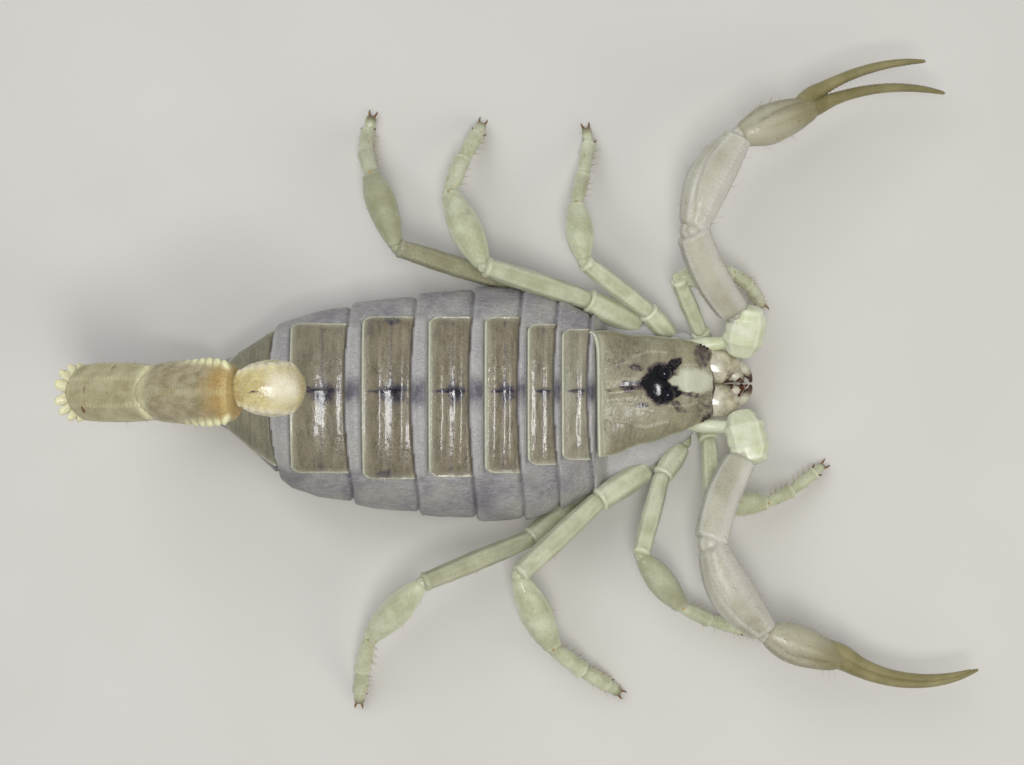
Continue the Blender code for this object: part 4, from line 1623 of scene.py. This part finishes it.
@dataclass
class Leg:
    """A walking leg of six pieces with soft joints, two claws, spurs and fine bristles."""

    finishes: Finishes
    name: str
    pose: LegPose
    lengths: tuple[tuple[float, ...], ...] = (
        (1.2, 2.2, 3.4, 4.6), (3.45, 4.4, 5.7, 6.0), (3.1, 3.8, 4.45, 4.3), (1.75, 2.2, 2.45, 2.35),
        (1.8, 2.1, 2.0, 1.8), (0.95, 1.1, 1.2, 1.2),
    )
    widths: tuple[tuple[float, float, float], ...] = (
        (1.05, 1.30, 1.10), (0.95, 1.12, 0.95), (0.72, 1.64, 0.78), (0.64, 0.86, 0.84), (0.64, 0.80, 0.76),
        (0.56, 0.60, 0.54),
    )
    girths: tuple[float, ...] = (0.78, 0.86, 1.0, 0.93)
    shades: tuple[float, ...] = (0.1, 0.0, 0.0, 0.0, 0.0, 0.0)
    toe_height: float = 0.26

    def __post_init__(self) -> None:
        """Lays out the pieces from the pose."""
        self.pair = int(self.name[-1]) - 1
        self.sizes = [row[self.pair] * share for row, share in zip(self.lengths, self.pose.drawn_in)]
        girth = self.girths[self.pair]
        headings = [heading(*turn) for turn in zip(self.pose.bearings, self.pose.rises)]
        height = self.pose.hip[2] + sum(way.z * size for way, size in zip(headings, self.sizes))
        fall = math.degrees(math.asin((self.toe_height - height) / self.sizes[-1]))
        headings.append(heading(self.pose.bearings[-1], fall))
        self.joints = [Vector(self.pose.hip)]
        for way, size in zip(headings, self.sizes):
            self.joints.append(self.joints[-1] + way * size)
        backs = (0.0, 0.20, 0.05, 0.12, 0.10, 0.10)
        keels = (
            (Keel(60, 0.02, 14, 0.3), Keel(120, 0.02, 14, 0.3)),
            (Keel(52, 0.035, 11, 0.24), Keel(128, 0.035, 11, 0.24), Keel(-60, 0.03), Keel(-120, 0.03)),
            (Keel(20, 0.02, 12, 0.26), Keel(160, 0.02, 12, 0.26)),
            (), (), (),
        )
        self.tubes = [
            Tube(
                self.joints[index], headings[index], self.sizes[index] - (0.30 if index == 5 else 0.0),
                tuple(width * girth for width in self.widths[index]),
                depth=(0.9, 1.25, 1.0, 1.0, 1.0, 1.0)[index], back=backs[index], keels=keels[index],
                collar=(0.07, 0.05, 0.05, 0.06, 0.04, 0.0)[index] * girth,
                pigment_and_shade_end=0.85 if index == 5 else 0.0, shade=self.shades[index],
                fullest=self.pose.fullest if index == 2 else 0.5,
            )
            for index in range(6)
        ]

    def grounded(self, surface: Surface) -> Surface:
        """The same surface, kept out of the floor.

        Args:
            surface: a piece's.

        Returns:
            The raised one.
        """

        def spot(along: float, angle: float) -> Spot:
            """The raised spot."""
            found = surface(along, angle)
            found.point.z = max(found.point.z, 0.012)
            return found

        return spot

    def shells(self) -> None:
        """The hard pieces, which stand for the leg's three CAD nodes."""
        for word, pieces in (("thigh", (0, 1)), ("patella", (2,)), ("foot", (3, 4, 5))):
            skin = Skin()
            for index in pieces:
                tube = self.tubes[index]
                skin.shell(36, max(24, round(tube.length * 13)), self.grounded(tube.surface))
            node = f"{self.name}_{word}"
            skin.place(f"{node}_shell", [self.finishes.leg], "leg_cuticle", [node])

    def joint_skins(self) -> None:
        """The soft skin at each joint, and the small brown knob over the shin's."""
        skin = Skin()
        for index in range(1, 6):
            wide = min(self.tubes[index - 1].widths[2], self.tubes[index].widths[0])
            shade = (self.tubes[index - 1].shade + self.tubes[index].shade) / 2
            ball(skin, self.joints[index] - self.tubes[index].direction * 0.02, wide * 0.45, shade=shade)
        ball(skin, self.tubes[2].surface(0.955, math.pi / 2)[0], 0.075, 1)
        skin.place(f"{self.name}_joints", [self.finishes.leg, self.finishes.bristle], "leg_cuticle")

    def claws(self) -> None:
        """Two curved claws on the toe, and spurs on the joint before it."""
        skin = Skin()
        toe = self.tubes[5]
        tip = toe.root + toe.direction * (toe.length - 0.08)
        flat = Vector((toe.direction.x, toe.direction.y, 0)).normalized()
        side = level_side(flat)
        for way in (-1, 1):
            points = [
                tip + side * way * 0.06, tip + flat * 0.16 + side * way * 0.15 + UP * 0.05,
                tip + flat * 0.32 + side * way * 0.20, tip + flat * 0.42 + side * way * 0.19 - UP * 0.12,
            ]
            for point in points:
                point.z = max(point.z, 0.05)
            skin.shell(12, 16, Path(points, [0.075, 0.06, 0.038, 0.01]).surface())
        ankle = self.tubes[4]
        across = level_side(ankle.direction)
        for way in (-1, 1):
            start = ankle.centre(ankle.length) + across * way * ankle.widths[2] * 0.36 - UP * 0.06
            spur = start + (ankle.direction + across * way * 0.5 - UP * 0.2).normalized() * 0.34
            spur.z = max(spur.z, 0.03)
            skin.shell(10, 10, Path([start, (start + spur) / 2, spur], [0.06, 0.045, 0.01]).surface())
        skin.place(f"{self.name}_claws", [self.finishes.claw], "leg_cuticle")

    def hairs(self) -> None:
        """Fine bristles, with combs of longer ones behind the two tarsi."""
        skin = Skin()
        seed = sum(map(ord, self.name))
        coat = ((4, 0.25), (9, 0.28), (9, 0.3), (9, 0.38), (10, 0.38), (8, 0.3))
        for index, (number, longest) in enumerate(coat):
            self.tubes[index].bristles(skin, number, longest, seed + index)
        for tube in self.tubes[3:5]:
            for place in range(7):
                along = 0.2 + 0.1 * place
                back = math.pi if self.name.startswith("leg_left") else 0.0
                spot = tube.surface(along, back + 0.3 * (-1) ** place)
                outward = (spot.point - tube.centre(along * tube.length)).normalized()
                tip = spot.point + (outward + tube.direction * 0.7).normalized() * 0.42
                if tip.z > 0.02:
                    skin.spike(spot.point - outward * 0.02, tip, 0.013)
        skin.place(f"{self.name}_bristles", [self.finishes.bristle], "leg_cuticle")

    def hip(self) -> None:
        """The hip piece that runs in under the body."""
        out = 1 if self.name.startswith("leg_left") else -1
        hip = Vector(self.pose.hip)
        inner = Vector((hip.x * 0.86 + 0.9, -0.85 + out * 0.55, 1.35))
        outer = hip + self.tubes[0].direction * 0.15
        points = [inner, inner.lerp(hip, 0.4) - UP * 0.1, inner.lerp(hip, 0.8), outer]
        radii = [radius * self.girths[self.pair] for radius in (0.42, 0.56, 0.60, 0.50)]
        skin = Skin()
        skin.shell(28, 26, Path(points, radii).surface(0.85, blunt=0.1))
        skin.place(f"{self.name}_hip", [self.finishes.leg], "leg_cuticle")

    def build(self) -> None:
        """Makes the leg."""
        self.shells()
        self.joint_skins()
        self.claws()
        self.hairs()
        self.hip()


class FingerPose(NamedTuple):
    """A finger: its bearing from the hand's, its bend in plan, its length and its place aside."""

    turn: float
    bend: float
    length: float
    aside: float


@dataclass
class Arm:
    """A pincer arm of three pieces, a slim hand and two long fingers edged with fine dark teeth."""

    finishes: Finishes
    side: Side
    root: tuple[float, float, float]
    bearings: tuple[float, ...]
    rises: tuple[float, ...]
    fixed: FingerPose
    movable: FingerPose
    lengths: tuple[float, ...] = (2.4, 4.75, 5.35, 4.3)
    widths: tuple[tuple[float, float, float], ...] = (
        (0.95, 1.92, 1.25), (1.50, 1.74, 1.66), (1.40, 2.26, 1.25), (1.10, 2.02, 0.96)
    )
    depths: tuple[float, ...] = (0.80, 0.84, 0.85, 0.90)
    bows: tuple[float, ...] = (0.0, 0.24, 0.38, 0.0)
    shades: tuple[float, ...] = (0.0, 0.0, 0.0, 0.0)
    finger_drop: float = 9
    cup: tuple[tuple[float, float, float], ...] = ((11.42, 1.30, 3.3), (11.86, 3.78, 4.25))
    elbow: tuple[float, float, float] = (11.20, 3.36, 4.25)
    finger_widths: tuple[float, float] = (0.56, 0.48)

    def __post_init__(self) -> None:
        """Lays out the pieces from the pose."""
        self.name = f"arm_{self.side.name.lower()}"
        headings = [heading(*turn) for turn in zip(self.bearings, self.rises)]
        self.joints = [Vector(self.root)]
        for way, size in zip(headings, self.lengths):
            self.joints.append(self.joints[-1] + way * size)
        starts = [Vector(self.cup[0]), Vector(self.elbow), *self.joints[2:4]]
        ends = [Vector(self.cup[1]), *self.joints[2:]]
        headings = [(end - start).normalized() for start, end in zip(starts, ends)]
        sizes = [(end - start).length for start, end in zip(starts, ends)]
        corner_keels = tuple(Keel(angle, 0.05, 9, 0.20) for angle in (38, 142, -38, -142))
        inner = 90 - self.side.value * 25
        keels = (
            (Keel(52, 0.035, 7, 0.55), Keel(128, 0.035, 7, 0.55)),
            (*corner_keels, Keel(0, 0.03, 9, 0.24), Keel(180, 0.03, 9, 0.24)),
            tuple(Keel(angle, 0.035, 9, 0.24) for angle in (25, 62, 118, 155, -35, -145)),
            tuple(Keel(angle, 0.015, 14, 0.4) for angle in (50, 90, 130)),
        )
        self.tubes = [
            Tube(
                starts[index], headings[index], sizes[index], self.widths[index], self.depths[index],
                fullest=0.40 if index in (0, 3) else 0.5,
                bow=self.side.value * self.bows[index], shade=self.shades[index],
                square=(0.8, 0.78, 0.88, 1.0)[index], back=(0.0, 0.0, 0.12, 0.14)[index],
                ahead=0.10 if index == 3 else 0.04, collar=(0.0, 0.06, 0.06, -0.05)[index],
                keels=keels[index], teeth=0.075 if index == 0 else 0.0, faceted=index == 0,
                fold=inner if index in (2, 3) else None,
                # each piece but the first gets a painted sheen on one upper side and painted shade opposite
                # it
                painted_sheen_angle=90 + self.side.value * 55 if index else None, fades=index == 3,
            )
            for index in range(4)
        ]

    def finger_path(self, pose: FingerPose) -> Path:
        """The finger's middle line, which starts inside the hand.

        Args:
            pose: the finger's.

        Returns:
            The line.
        """
        place = self.joints[-1] + level_side(self.tubes[3].direction) * pose.aside
        first = heading(self.bearings[3] + pose.turn, -self.finger_drop)
        middle = self.joints[-1] + (place - self.joints[-1]) * 0.35
        points, radii = [middle - first * 1.5, middle.lerp(place, 0.55) - first * 0.7], [0.42, 0.46]
        for row in range(8):
            share = row / 7
            half = (self.finger_widths[0] + (self.finger_widths[1] - self.finger_widths[0]) * share) / 2
            points.append(place.copy())
            radii.append(half * (1.55, 1.16, 1.0, 0.92, 0.86, 0.76, 0.60, 0.28)[row])
            way = heading(self.bearings[3] + pose.turn + pose.bend * share, -self.finger_drop)
            place = place + way * (pose.length / 7)
        return Path(points, radii)

    def finger(self, skin: Skin, pose: FingerPose, inner: int) -> None:
        """Adds a finger, whose inner edge, on its left if inner is 1, has a dark row of teeth.

        Args:
            skin: that gets it.
            pose: the finger's.
            inner: 1 or -1.
        """
        line = 0.0 if inner > 0 else math.pi

        def relief(along: float, angle: float) -> Relief:
            """The finger's relief."""
            facing = bell(apart(angle, line), 0, 0.34)
            tooth = abs(math.sin(along * pose.length * math.pi / 0.16))
            dark = 0.85 * facing * step(0.16, 0.26, along)
            return 0.04 * facing * tooth * step(0.16, 0.26, along), 0.0, dark

        skin.shell(28, 110, self.finger_path(pose).surface(1.05, relief, blunt=0.03), 1)

    def build(self) -> None:
        """Makes the arm, piece by piece in the CAD nodes' order."""
        own = (self.finishes.armour, self.finishes.arm, self.finishes.arm)
        for index, word in enumerate(("trochanter", "femur", "patella")):
            skin = Skin()
            rows = max(60, round(self.lengths[index] * 17))
            skin.shell(72, rows, self.tubes[index].surface)
            skin.place(f"{self.name}_{word}_shell", [own[index]], "arm_cuticle", [f"{self.name}_{word}"])
        both = [self.finishes.hand, self.finishes.finger]
        upper_is_fixed = self.fixed.aside > self.movable.aside
        hand = Skin()
        hand.shell(60, 80, self.tubes[3].surface)
        self.finger(hand, self.fixed, -1 if upper_is_fixed else 1)
        hand.place(f"{self.name}_hand_shell", both, "hand_cuticle", [f"{self.name}_hand"])
        finger = Skin()
        self.finger(finger, self.movable, 1 if upper_is_fixed else -1)
        finger.place(f"{self.name}_finger_shell", both, "hand_cuticle", [f"{self.name}_finger"])
        joints = Skin()
        for index in (1, 2, 3):
            wide = min(self.widths[index - 1][2], self.widths[index][0])
            centre = self.joints[index] if index > 1 else Vector(self.elbow)
            ball(joints, centre, wide * 0.43, squash=0.85)
        knuckle = self.joints[-1] + level_side(self.tubes[3].direction) * self.movable.aside * 1.35
        ball(joints, knuckle - self.tubes[3].direction * 0.25, 0.32, squash=0.9)
        joints.place(f"{self.name}_joints", [self.finishes.arm], "arm_cuticle")
        hairs = Skin()
        for index, (number, longest) in enumerate(((8, 0.25), (14, 0.4), (22, 0.5), (26, 0.65))):
            seed = 40 + index + self.side.value
            self.tubes[index].bristles(hairs, number, longest, seed)
        hairs.place(f"{self.name}_bristles", [self.finishes.bristle], "hand_cuticle")


# ---- tail and combs
@dataclass
class Tail:
    """The tail arched over the back: five keeled rings, the sting's bulb and its dark needle."""

    finishes: Finishes
    root: tuple[float, float, float] = (-14.75, -0.50, 2.85)
    lengths: tuple[float, ...] = (3.9, 4.2, 4.6, 5.2, 5.65)
    rises: tuple[float, ...] = (30, 66, 96, 137, 134)
    end_rise: float = 162
    lean: float = 0.004
    widths: tuple[float, ...] = (3.1, 2.85, 2.72, 2.78, 2.82)
    depths: tuple[float, ...] = (2.7, 2.6, 2.45, 2.35, 2.25)
    end_lobe: float = 0.50
    rear_x: float = -21.0
    top_z: float = 21.8
    side_lobe: float = 0.24
    side_lobe_count: int = 7
    side_lobe_start: float = 0.36
    first_rims: tuple[float, ...] = (0.2, 0.2, 0.2, 0.2, 0.65)
    last_rims: tuple[float, ...] = (0.3, 0.3, 0.3, 0.75, 0.1)
    gap: float = 0.02
    sting_rows: tuple[tuple[float, float, float], ...] = (
        (0.0, 168, 0.62), (0.30, 170, 0.86), (0.70, 175, 1.07), (1.15, 183, 1.20), (1.65, 198, 1.26),
        (2.1, 230, 1.23), (2.6, 256, 1.05), (3.1, 270, 0.78), (3.55, 272, 0.53), (3.95, 270, 0.40),
        (4.4, 262, 0.32), (4.9, 252, 0.24), (5.4, 240, 0.15), (5.9, 228, 0.05),
    )
    sting_depth: float = 0.95

    def __post_init__(self) -> None:
        """Finds the joints from the rises and lengths."""
        self.side = Vector((0, -1, 0))
        self.headings = [self.heading(rise) for rise in self.rises]
        self.joints = [Vector(self.root)]
        for way, size in zip(self.headings, self.lengths):
            self.joints.append(self.joints[-1] + way * size)
        halves = [(first + second).normalized() for first, second in zip(self.headings, self.headings[1:])]
        self.cuts = [Vector((-1, 0, 0)), *halves, self.heading(self.end_rise)]

    def heading(self, rise: float) -> Vector:
        """A heading in the tail's upright plane: 0 is back, 90 is up and 180 is forwards."""
        turn = math.radians(rise)
        return Vector((-math.cos(turn), self.lean, math.sin(turn))).normalized()

    def keels_of(self, index: int) -> tuple[Keel, ...]:
        """A ring's keels; the outer side of the arched tail is at 270 degrees.

        Args:
            index: of the ring.

        Returns:
            The keels.
        """
        upper = (Keel(67.5, 0.06, 7, 0.24), Keel(112.5, 0.06, 7, 0.24))
        sides = (Keel(22.5, 0.05, 7, 0.22), Keel(157.5, 0.05, 7, 0.22))
        lower = (Keel(202.5, 0.06, 7, 0.24), Keel(337.5, 0.06, 7, 0.24))
        under = (Keel(247.5, 0.06, 6, 0.24), Keel(292.5, 0.06, 6, 0.24))
        if index == 4:
            return (*upper, Keel(202.5, 0.03, 7, 0.28), Keel(337.5, 0.03, 7, 0.28), Keel(270, 0.03, 5, 0.2))
        return (*upper, *sides, *lower, *under)

    def lobes(self, index: int, place: float, angle: float) -> float:
        """How far the lobes of the third ring's rear rim and the fifth ring's side rows stand out.

        Args:
            index: of the ring.
            place: along it.
            angle: round it.

        Returns:
            The millimetres.
        """
        most = 0.0
        if index == 2:
            outer = max(0.0, -math.sin(angle)) ** 0.6
            scallop = abs(math.sin(8 * (angle - math.pi * 1.5))) ** 0.6
            return self.end_lobe * outer * scallop * step(0.84, 0.985, place)
        if index != 4:
            return 0.0
        for keel in (202.5, 337.5):
            near = bell(apart(angle, math.radians(keel)), 0, math.radians(12))
            beyond = place - self.side_lobe_start
            wave = beyond / 0.64 * self.side_lobe_count
            if 0 < wave < self.side_lobe_count:
                saw = abs(math.sin(math.pi * wave)) ** 0.6
                most = max(most, near * saw * (0.10 + 0.90 * min(1.0, beyond / 0.4)))
        return most * self.side_lobe

    def ring(self, index: int) -> None:
        """One ring of the tail, cut to meet its neighbours.

        Args:
            index: from the root.
        """
        root, way, length = self.joints[index], self.headings[index], self.lengths[index]
        upward = way.cross(self.side)
        width, depth = self.widths[index], self.depths[index]
        keels = self.keels_of(index)
        first_cut, last_cut = self.cuts[index], self.cuts[index + 1]

        def spot(along: float, angle: float) -> Spot:
            """The ring's spot there."""
            slim = 0.90 + 0.10 * math.sin(math.pi * min(1.0, 0.15 + 0.85 * along))
            across, up = squared(math.cos(angle), 0.80), squared(math.sin(angle), 0.80)
            lobe = self.lobes(index, along, angle)
            place = Vector((along * length, math.cos(angle) * 2, math.sin(angle) * 2))
            out = 0.014 * rough(place, 0.4, index) - 0.05
            edge = min(1.0, lobe / 0.12)
            near_end = min(along, 1 - along) * length
            for keel in keels:
                ridge = keel.ridge(angle)
                slide = 0.5 * rough(Vector((along * length, keel.angle, 0)), 0.6, index)
                grain = 0.5 + 0.5 * math.cos(along * length * math.tau / keel.pitch + slide * 5)
                out += keel.height * ridge * (0.4 + 0.6 * grain)
                edge = max(edge, (0.08 + 0.22 * grain) * ridge)
            first_rim = self.first_rims[index] * bell(along * length, 0.08, 0.3)
            edge = max(edge, self.last_rims[index] * bell((1 - along) * length, 0.06, 0.26), first_rim)
            lip = math.sqrt(max(0.0, 1 - (1 - min(1.0, near_end / 0.30)) ** 2))
            narrowed = (0.12 if index == 4 else 0.0) * bell(1 - along, 0, 0.045)
            neck = 1 - 0.09 * bell(along * length, 0.0, 0.5) - narrowed
            shut = (0.88 + 0.12 * lip) * neck
            wide = (width / 2 * slim + lobe + out) * shut * across
            high = (depth / 2 * slim + lobe + out) * shut * up
            offset = self.side * wide + upward * high
            first = self.gap - offset.dot(first_cut) / way.dot(first_cut)
            last = length - self.gap - offset.dot(last_cut) / way.dot(last_cut)
            speck = 0.9 * step(0.50, 0.62, rough(Vector((along * length, angle, index)), 0.5, 12))
            point = root + offset + way * (first + (last - first) * along)
            point.x = max(point.x, self.rear_x)
            return Spot(point, edge, speck * (index == 3), along)

        skin = Skin()
        skin.shell(144, round(length * 20), spot)
        finish = self.finishes.tail_end if index == 4 else self.finishes.tail
        skin.place(f"tail_ring_{index + 1}", [finish], "tail_cuticle", [f"metasoma_{index + 1}"])

    def sting(self) -> None:
        """The bulb and its curved needle, dark at the tip."""
        place = self.joints[-1] + Vector((-0.10, 0.16, -0.33))
        points, radii, reached = [], [], 0.0
        for along, rise, radius in self.sting_rows:
            place = place + self.heading(rise) * (along - reached)
            reached = along
            points.append(place.copy())
            radii.append(radius)

        def relief(along: float, angle: float) -> Relief:
            """The bulb's relief."""
            bulb = 1 - step(0.45, 0.62, along)
            low = max(0.0, -math.sin(angle))
            lumps = rough(Vector((along * 5, math.cos(angle), math.sin(angle))), 0.28)
            out = 0.03 * bulb * lumps - 0.05 * bulb
            fringe = max(bell(apart(angle, math.radians(keel)), 0, math.radians(11)) for keel in (216, 324))
            fringe *= step(0.03, 0.07, along) * (1 - step(0.34, 0.46, along))
            saw = abs(math.sin(along * self.sting_rows[-1][0] * math.pi / 0.30)) ** 0.7
            out += 0.11 * fringe * saw - 0.03 * bulb * bell(low, 1, 0.25)
            # Painted reflection: a whitish patch on the top of the bulb, joined with the pale keel fringes in
            # one pale mark.
            glassy = bell(apart(angle, math.pi * 1.5), 0, 0.66) * step(0.22, 0.29, along)
            glassy *= 1 - step(0.33, 0.39, along)
            glassy *= 0.7 + 0.3 * rough(Vector((along * 9, angle, 0)), 0.8)
            ring = max(0.45 * fringe, glassy)
            slit = apart(angle, math.pi * 1.5 + 0.16 + 0.03 * math.sin(along * 90))
            slit = 0.9 * bell(slit, 0, 0.05) * bell(along, 0.19, 0.035)
            return out, min(1.0, ring), max(slit, step(0.62, 0.90, along))

        skin = Skin()
        skin.shell(96, 150, Path(points, radii).surface(self.sting_depth, relief, self.side))
        skin.place("sting_bulb", [self.finishes.sting], "sting_cuticle", ["telson"])

    def joint_skins(self) -> None:
        """The soft skin between the rings."""
        skin = Skin()
        for index in range(1, 5):
            ball(skin, self.joints[index], self.widths[index - 1] * 0.38)
        skin.place("tail_joints", [self.finishes.tail], "tail_cuticle")

    def hairs(self) -> None:
        """Sparse fine hairs."""
        skin = Skin()
        dice = random.Random(7)
        for index in range(5):
            upward = self.headings[index].cross(self.side)
            for _ in range(12):
                angle = dice.uniform(0, math.tau)
                outward = self.side * math.cos(angle) + upward * math.sin(angle)
                way = self.headings[index] * self.lengths[index]
                start = self.joints[index] + way * dice.uniform(0.2, 0.85)
                wide, high = math.cos(angle) * self.widths[index], math.sin(angle) * self.depths[index]
                reach = Vector((wide, high, 0)).length / 2
                if index == 2 and outward.x < 0:
                    continue
                tip = start + outward * (reach + 0.22) + self.headings[index] * 0.15
                if tip.z > self.top_z or tip.x < self.rear_x + 0.05:
                    continue
                skin.spike(start + outward * (reach - 0.05), tip, 0.010)
        skin.place("tail_bristles", [self.finishes.bristle], "tail_cuticle")

    def build(self) -> None:
        """Makes the tail."""
        for index in range(5):
            self.ring(index)
        self.sting()
        self.joint_skins()
        self.hairs()


@dataclass
class Comb:
    """A feeling comb under the trunk: a flat jointed shaft with a row of finger-like teeth."""

    finishes: Finishes
    side: Side
    root: tuple[float, float, float] = (3.75, -1.12, 0.50)
    apart: float = 0.55
    span: tuple[float, float, float] = (-2.7, 2.75, -0.16)
    teeth: int = 18

    def build(self) -> None:
        """Makes the comb."""
        out = self.side.value
        span = Vector((self.span[0], self.span[1] * out, self.span[2]))
        root = Vector(self.root) + Vector((0, out * self.apart, 0))
        rearward = Vector((-abs(span.y), span.x * out, 0)).normalized()
        shaft = Path([root + span * share for share in (0, 0.33, 0.66, 0.97)], [0.20, 0.21, 0.18, 0.12])

        def relief(along: float, _angle: float) -> Relief:
            """A tooth's round."""
            return -0.03 * bell((along * 5) % 1, 0.5, 0.12), 0.3, 0.0

        skin = Skin()
        skin.shell(20, 50, shaft.surface(0.8, relief, blunt=0.08))
        for number in range(self.teeth):
            share = 0.06 + 0.90 * number / (self.teeth - 1)
            start = root + span * share
            long = 0.46 - 0.12 * share
            points = [start, start + rearward * long * 0.5 - UP * 0.02, start + rearward * long]
            skin.shell(10, 10, Path(points, [0.07, 0.085, 0.05]).surface(1.0, blunt=0.2))
        word = self.side.name.lower()
        skin.place(f"comb_{word}", [self.finishes.leg], "leg_cuticle", [f"pectine_{word}"])


# ---- studio
@dataclass
class Studio:
    """A pale floor, soft lights and the camera straight above."""

    camera_height: float = 110.0
    lens: float = 74.53

    def floor(self) -> None:
        """Lays the paper."""
        shape = bmesh.new()
        bmesh.ops.create_grid(shape, x_segments=2, y_segments=2, size=0.6)
        mesh = bpy.data.meshes.new("studio_floor")
        shape.to_mesh(mesh)
        shape.free()
        mesh.materials.append(StudioPaper().material())
        floor = bpy.data.objects.new("studio_floor", mesh)
        bpy.context.scene.collection.objects.link(floor)

    def lamp(
        self, name: str, place: tuple[float, ...], size: tuple[float, float], power: float, tint: str,
        mirrored: bool = False
    ) -> None:
        """Hangs a soft lamp that looks at the animal's middle.

        Args:
            name: of the lamp.
            place: in millimetres.
            size: its length along X and Y, in millimetres.
            power: in watts.
            tint: its colour.
            mirrored: whether glossy skins mirror it; only the slim key lamp gives highlights.
        """
        light = bpy.data.lights.new(name, "AREA")
        light.shape = "RECTANGLE"
        light.size, light.size_y = size[0] * MM, size[1] * MM
        light.energy = power
        light.color = hex_colour(tint)[:3]
        lamp = bpy.data.objects.new(name, light)
        lamp.location = (Vector(place) + SHIFT) * MM
        lamp.rotation_euler = (-Vector(place)).to_track_quat("-Z", "Y").to_euler()
        lamp.visible_glossy = mirrored
        bpy.context.scene.collection.objects.link(lamp)

    def build(self) -> None:
        """Sets the studio up."""
        self.floor()
        self.lamp("key_lamp", (4, -22, 150), (26, 62), 0.10, "ffffff", True)
        self.lamp("soft_lamp", (-120, 120, 240), (220, 220), 0.42, "f4f7ff")
        self.lamp("fill_lamp", (170, -110, 160), (160, 160), 0.16, "fff8ee")
        world = bpy.data.worlds.new("studio_world")
        world.use_nodes = True
        back = world.node_tree.nodes["Background"]
        back.inputs["Color"].default_value = hex_colour("eef0f2")
        back.inputs["Strength"].default_value = 0.30
        bpy.context.scene.world = world
        bpy.context.scene.view_settings.view_transform = "Standard"
        data = bpy.data.cameras.new("camera")
        data.lens = self.lens
        data.sensor_width = 36
        data.clip_start, data.clip_end = 0.001, 10
        camera = bpy.data.objects.new("camera", data)
        camera.location = (SHIFT + UP * self.camera_height) * MM
        bpy.context.scene.collection.objects.link(camera)
        bpy.context.scene.camera = camera


LEG_POSES = {
    "leg_left_1": LegPose(
        (9.90, 1.75, 1.6), (113, 116, 6, -32, -48, -55), (34, 34, -20, -42, -56), (1, 1, 1, 0.82, 0.92, 0.90)
    ),
    "leg_left_2": LegPose(
        (8.15, 2.25, 1.9), (134, 144, 96, 76, 79, 101), (28, 24, -27, -42, -30), (1, 1, 0.89, 1, 1, 1)
    ),
    "leg_left_3": LegPose(
        (6.60, 2.85, 1.9), (155, 163, 115, 71, 62, 68), (22, 19, -21, -35, -36), (1, 1, 1, 1, 0.96, 0.85)
    ),
    "leg_left_4": LegPose(
        (3.92, 3.60, 1.7), (161, 163, 110, 108, 88, 74), (16, 18, -19, -57, -45), (1, 1, 1, 1, 1, 0.9), 0.62
    ),
    "leg_right_1": LegPose((9.80, -1.95, 1.6), (-78, -90, 0, 23, 35, 35), (26, 26, -20, -32, -27)),
    "leg_right_2": LegPose((8.70, -3.20, 1.9), (-126, -107, -51, -29, -17, -22), (28, 24, -24, -40, -28)),
    "leg_right_3": LegPose((7.00, -4.35, 1.9), (-149, -138, -65, -40, -35, -35), (22, 19, -21, -34, -38)),
    "leg_right_4": LegPose(
        (4.40, -5.24, 1.7), (-143, -159, -133, -104, -99, -95), (16, 18, -21, -37, -44),
        (1, 1, 1, 1, 0.92, 0.85),
    ),
}

LEG_SHADES = {
    "leg_left_3": (0.2, 0.24, 0.05, 0.0, 0.0, 0.0),
    "leg_left_4": (0.4, 0.60, 0.42, 0.15, 0.0, 0.0),
    "leg_right_2": (0.15, 0.15, 0.34, 0.0, 0.0, 0.0),
    "leg_right_3": (0.15, 0.20, 0.0, 0.0, 0.0, 0.0),
    "leg_right_4": (0.38, 0.36, 0.0, 0.0, 0.0, 0.0),
}


def main() -> None:
    """Builds the animal and its studio."""
    logging.basicConfig(level=logging.INFO, format="%(name)s %(message)s")
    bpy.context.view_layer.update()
    finishes = Finishes()
    Studio().build()
    Trunk(finishes).build()
    Head(finishes).build()
    for name, pose in LEG_POSES.items():
        Leg(finishes, name, pose, shades=LEG_SHADES.get(name, Leg.shades)).build()
    Arm(
        finishes, Side.LEFT, (9.95, 2.00, 3.1), (51, 119, 63, 22), (40, 13, -6, -13),
        FingerPose(9.6, -33, 6.36, 0.60), FingerPose(1.7, -39, 6.93, -0.04), shades=(0.0, 0.17, 0.0, 0.0),
    ).build()
    Arm(
        finishes, Side.RIGHT, (9.80, -2.10, 3.1), (-48, -106, -58, -21), (40, 13, -7, -13),
        FingerPose(-8, 57, 7.5, -0.02), FingerPose(-9, 51, 6.99, 0.38), shades=(0.0, 0.0, 0.22, 0.08),
        cup=((11.45, -1.42, 3.3), (12.02, -4.02, 4.25)), elbow=(11.52, -3.66, 4.25),
    ).build()
    Tail(finishes).build()
    for side in Side:
        Comb(finishes, side).build()


if __name__ == "__main__":
    main()
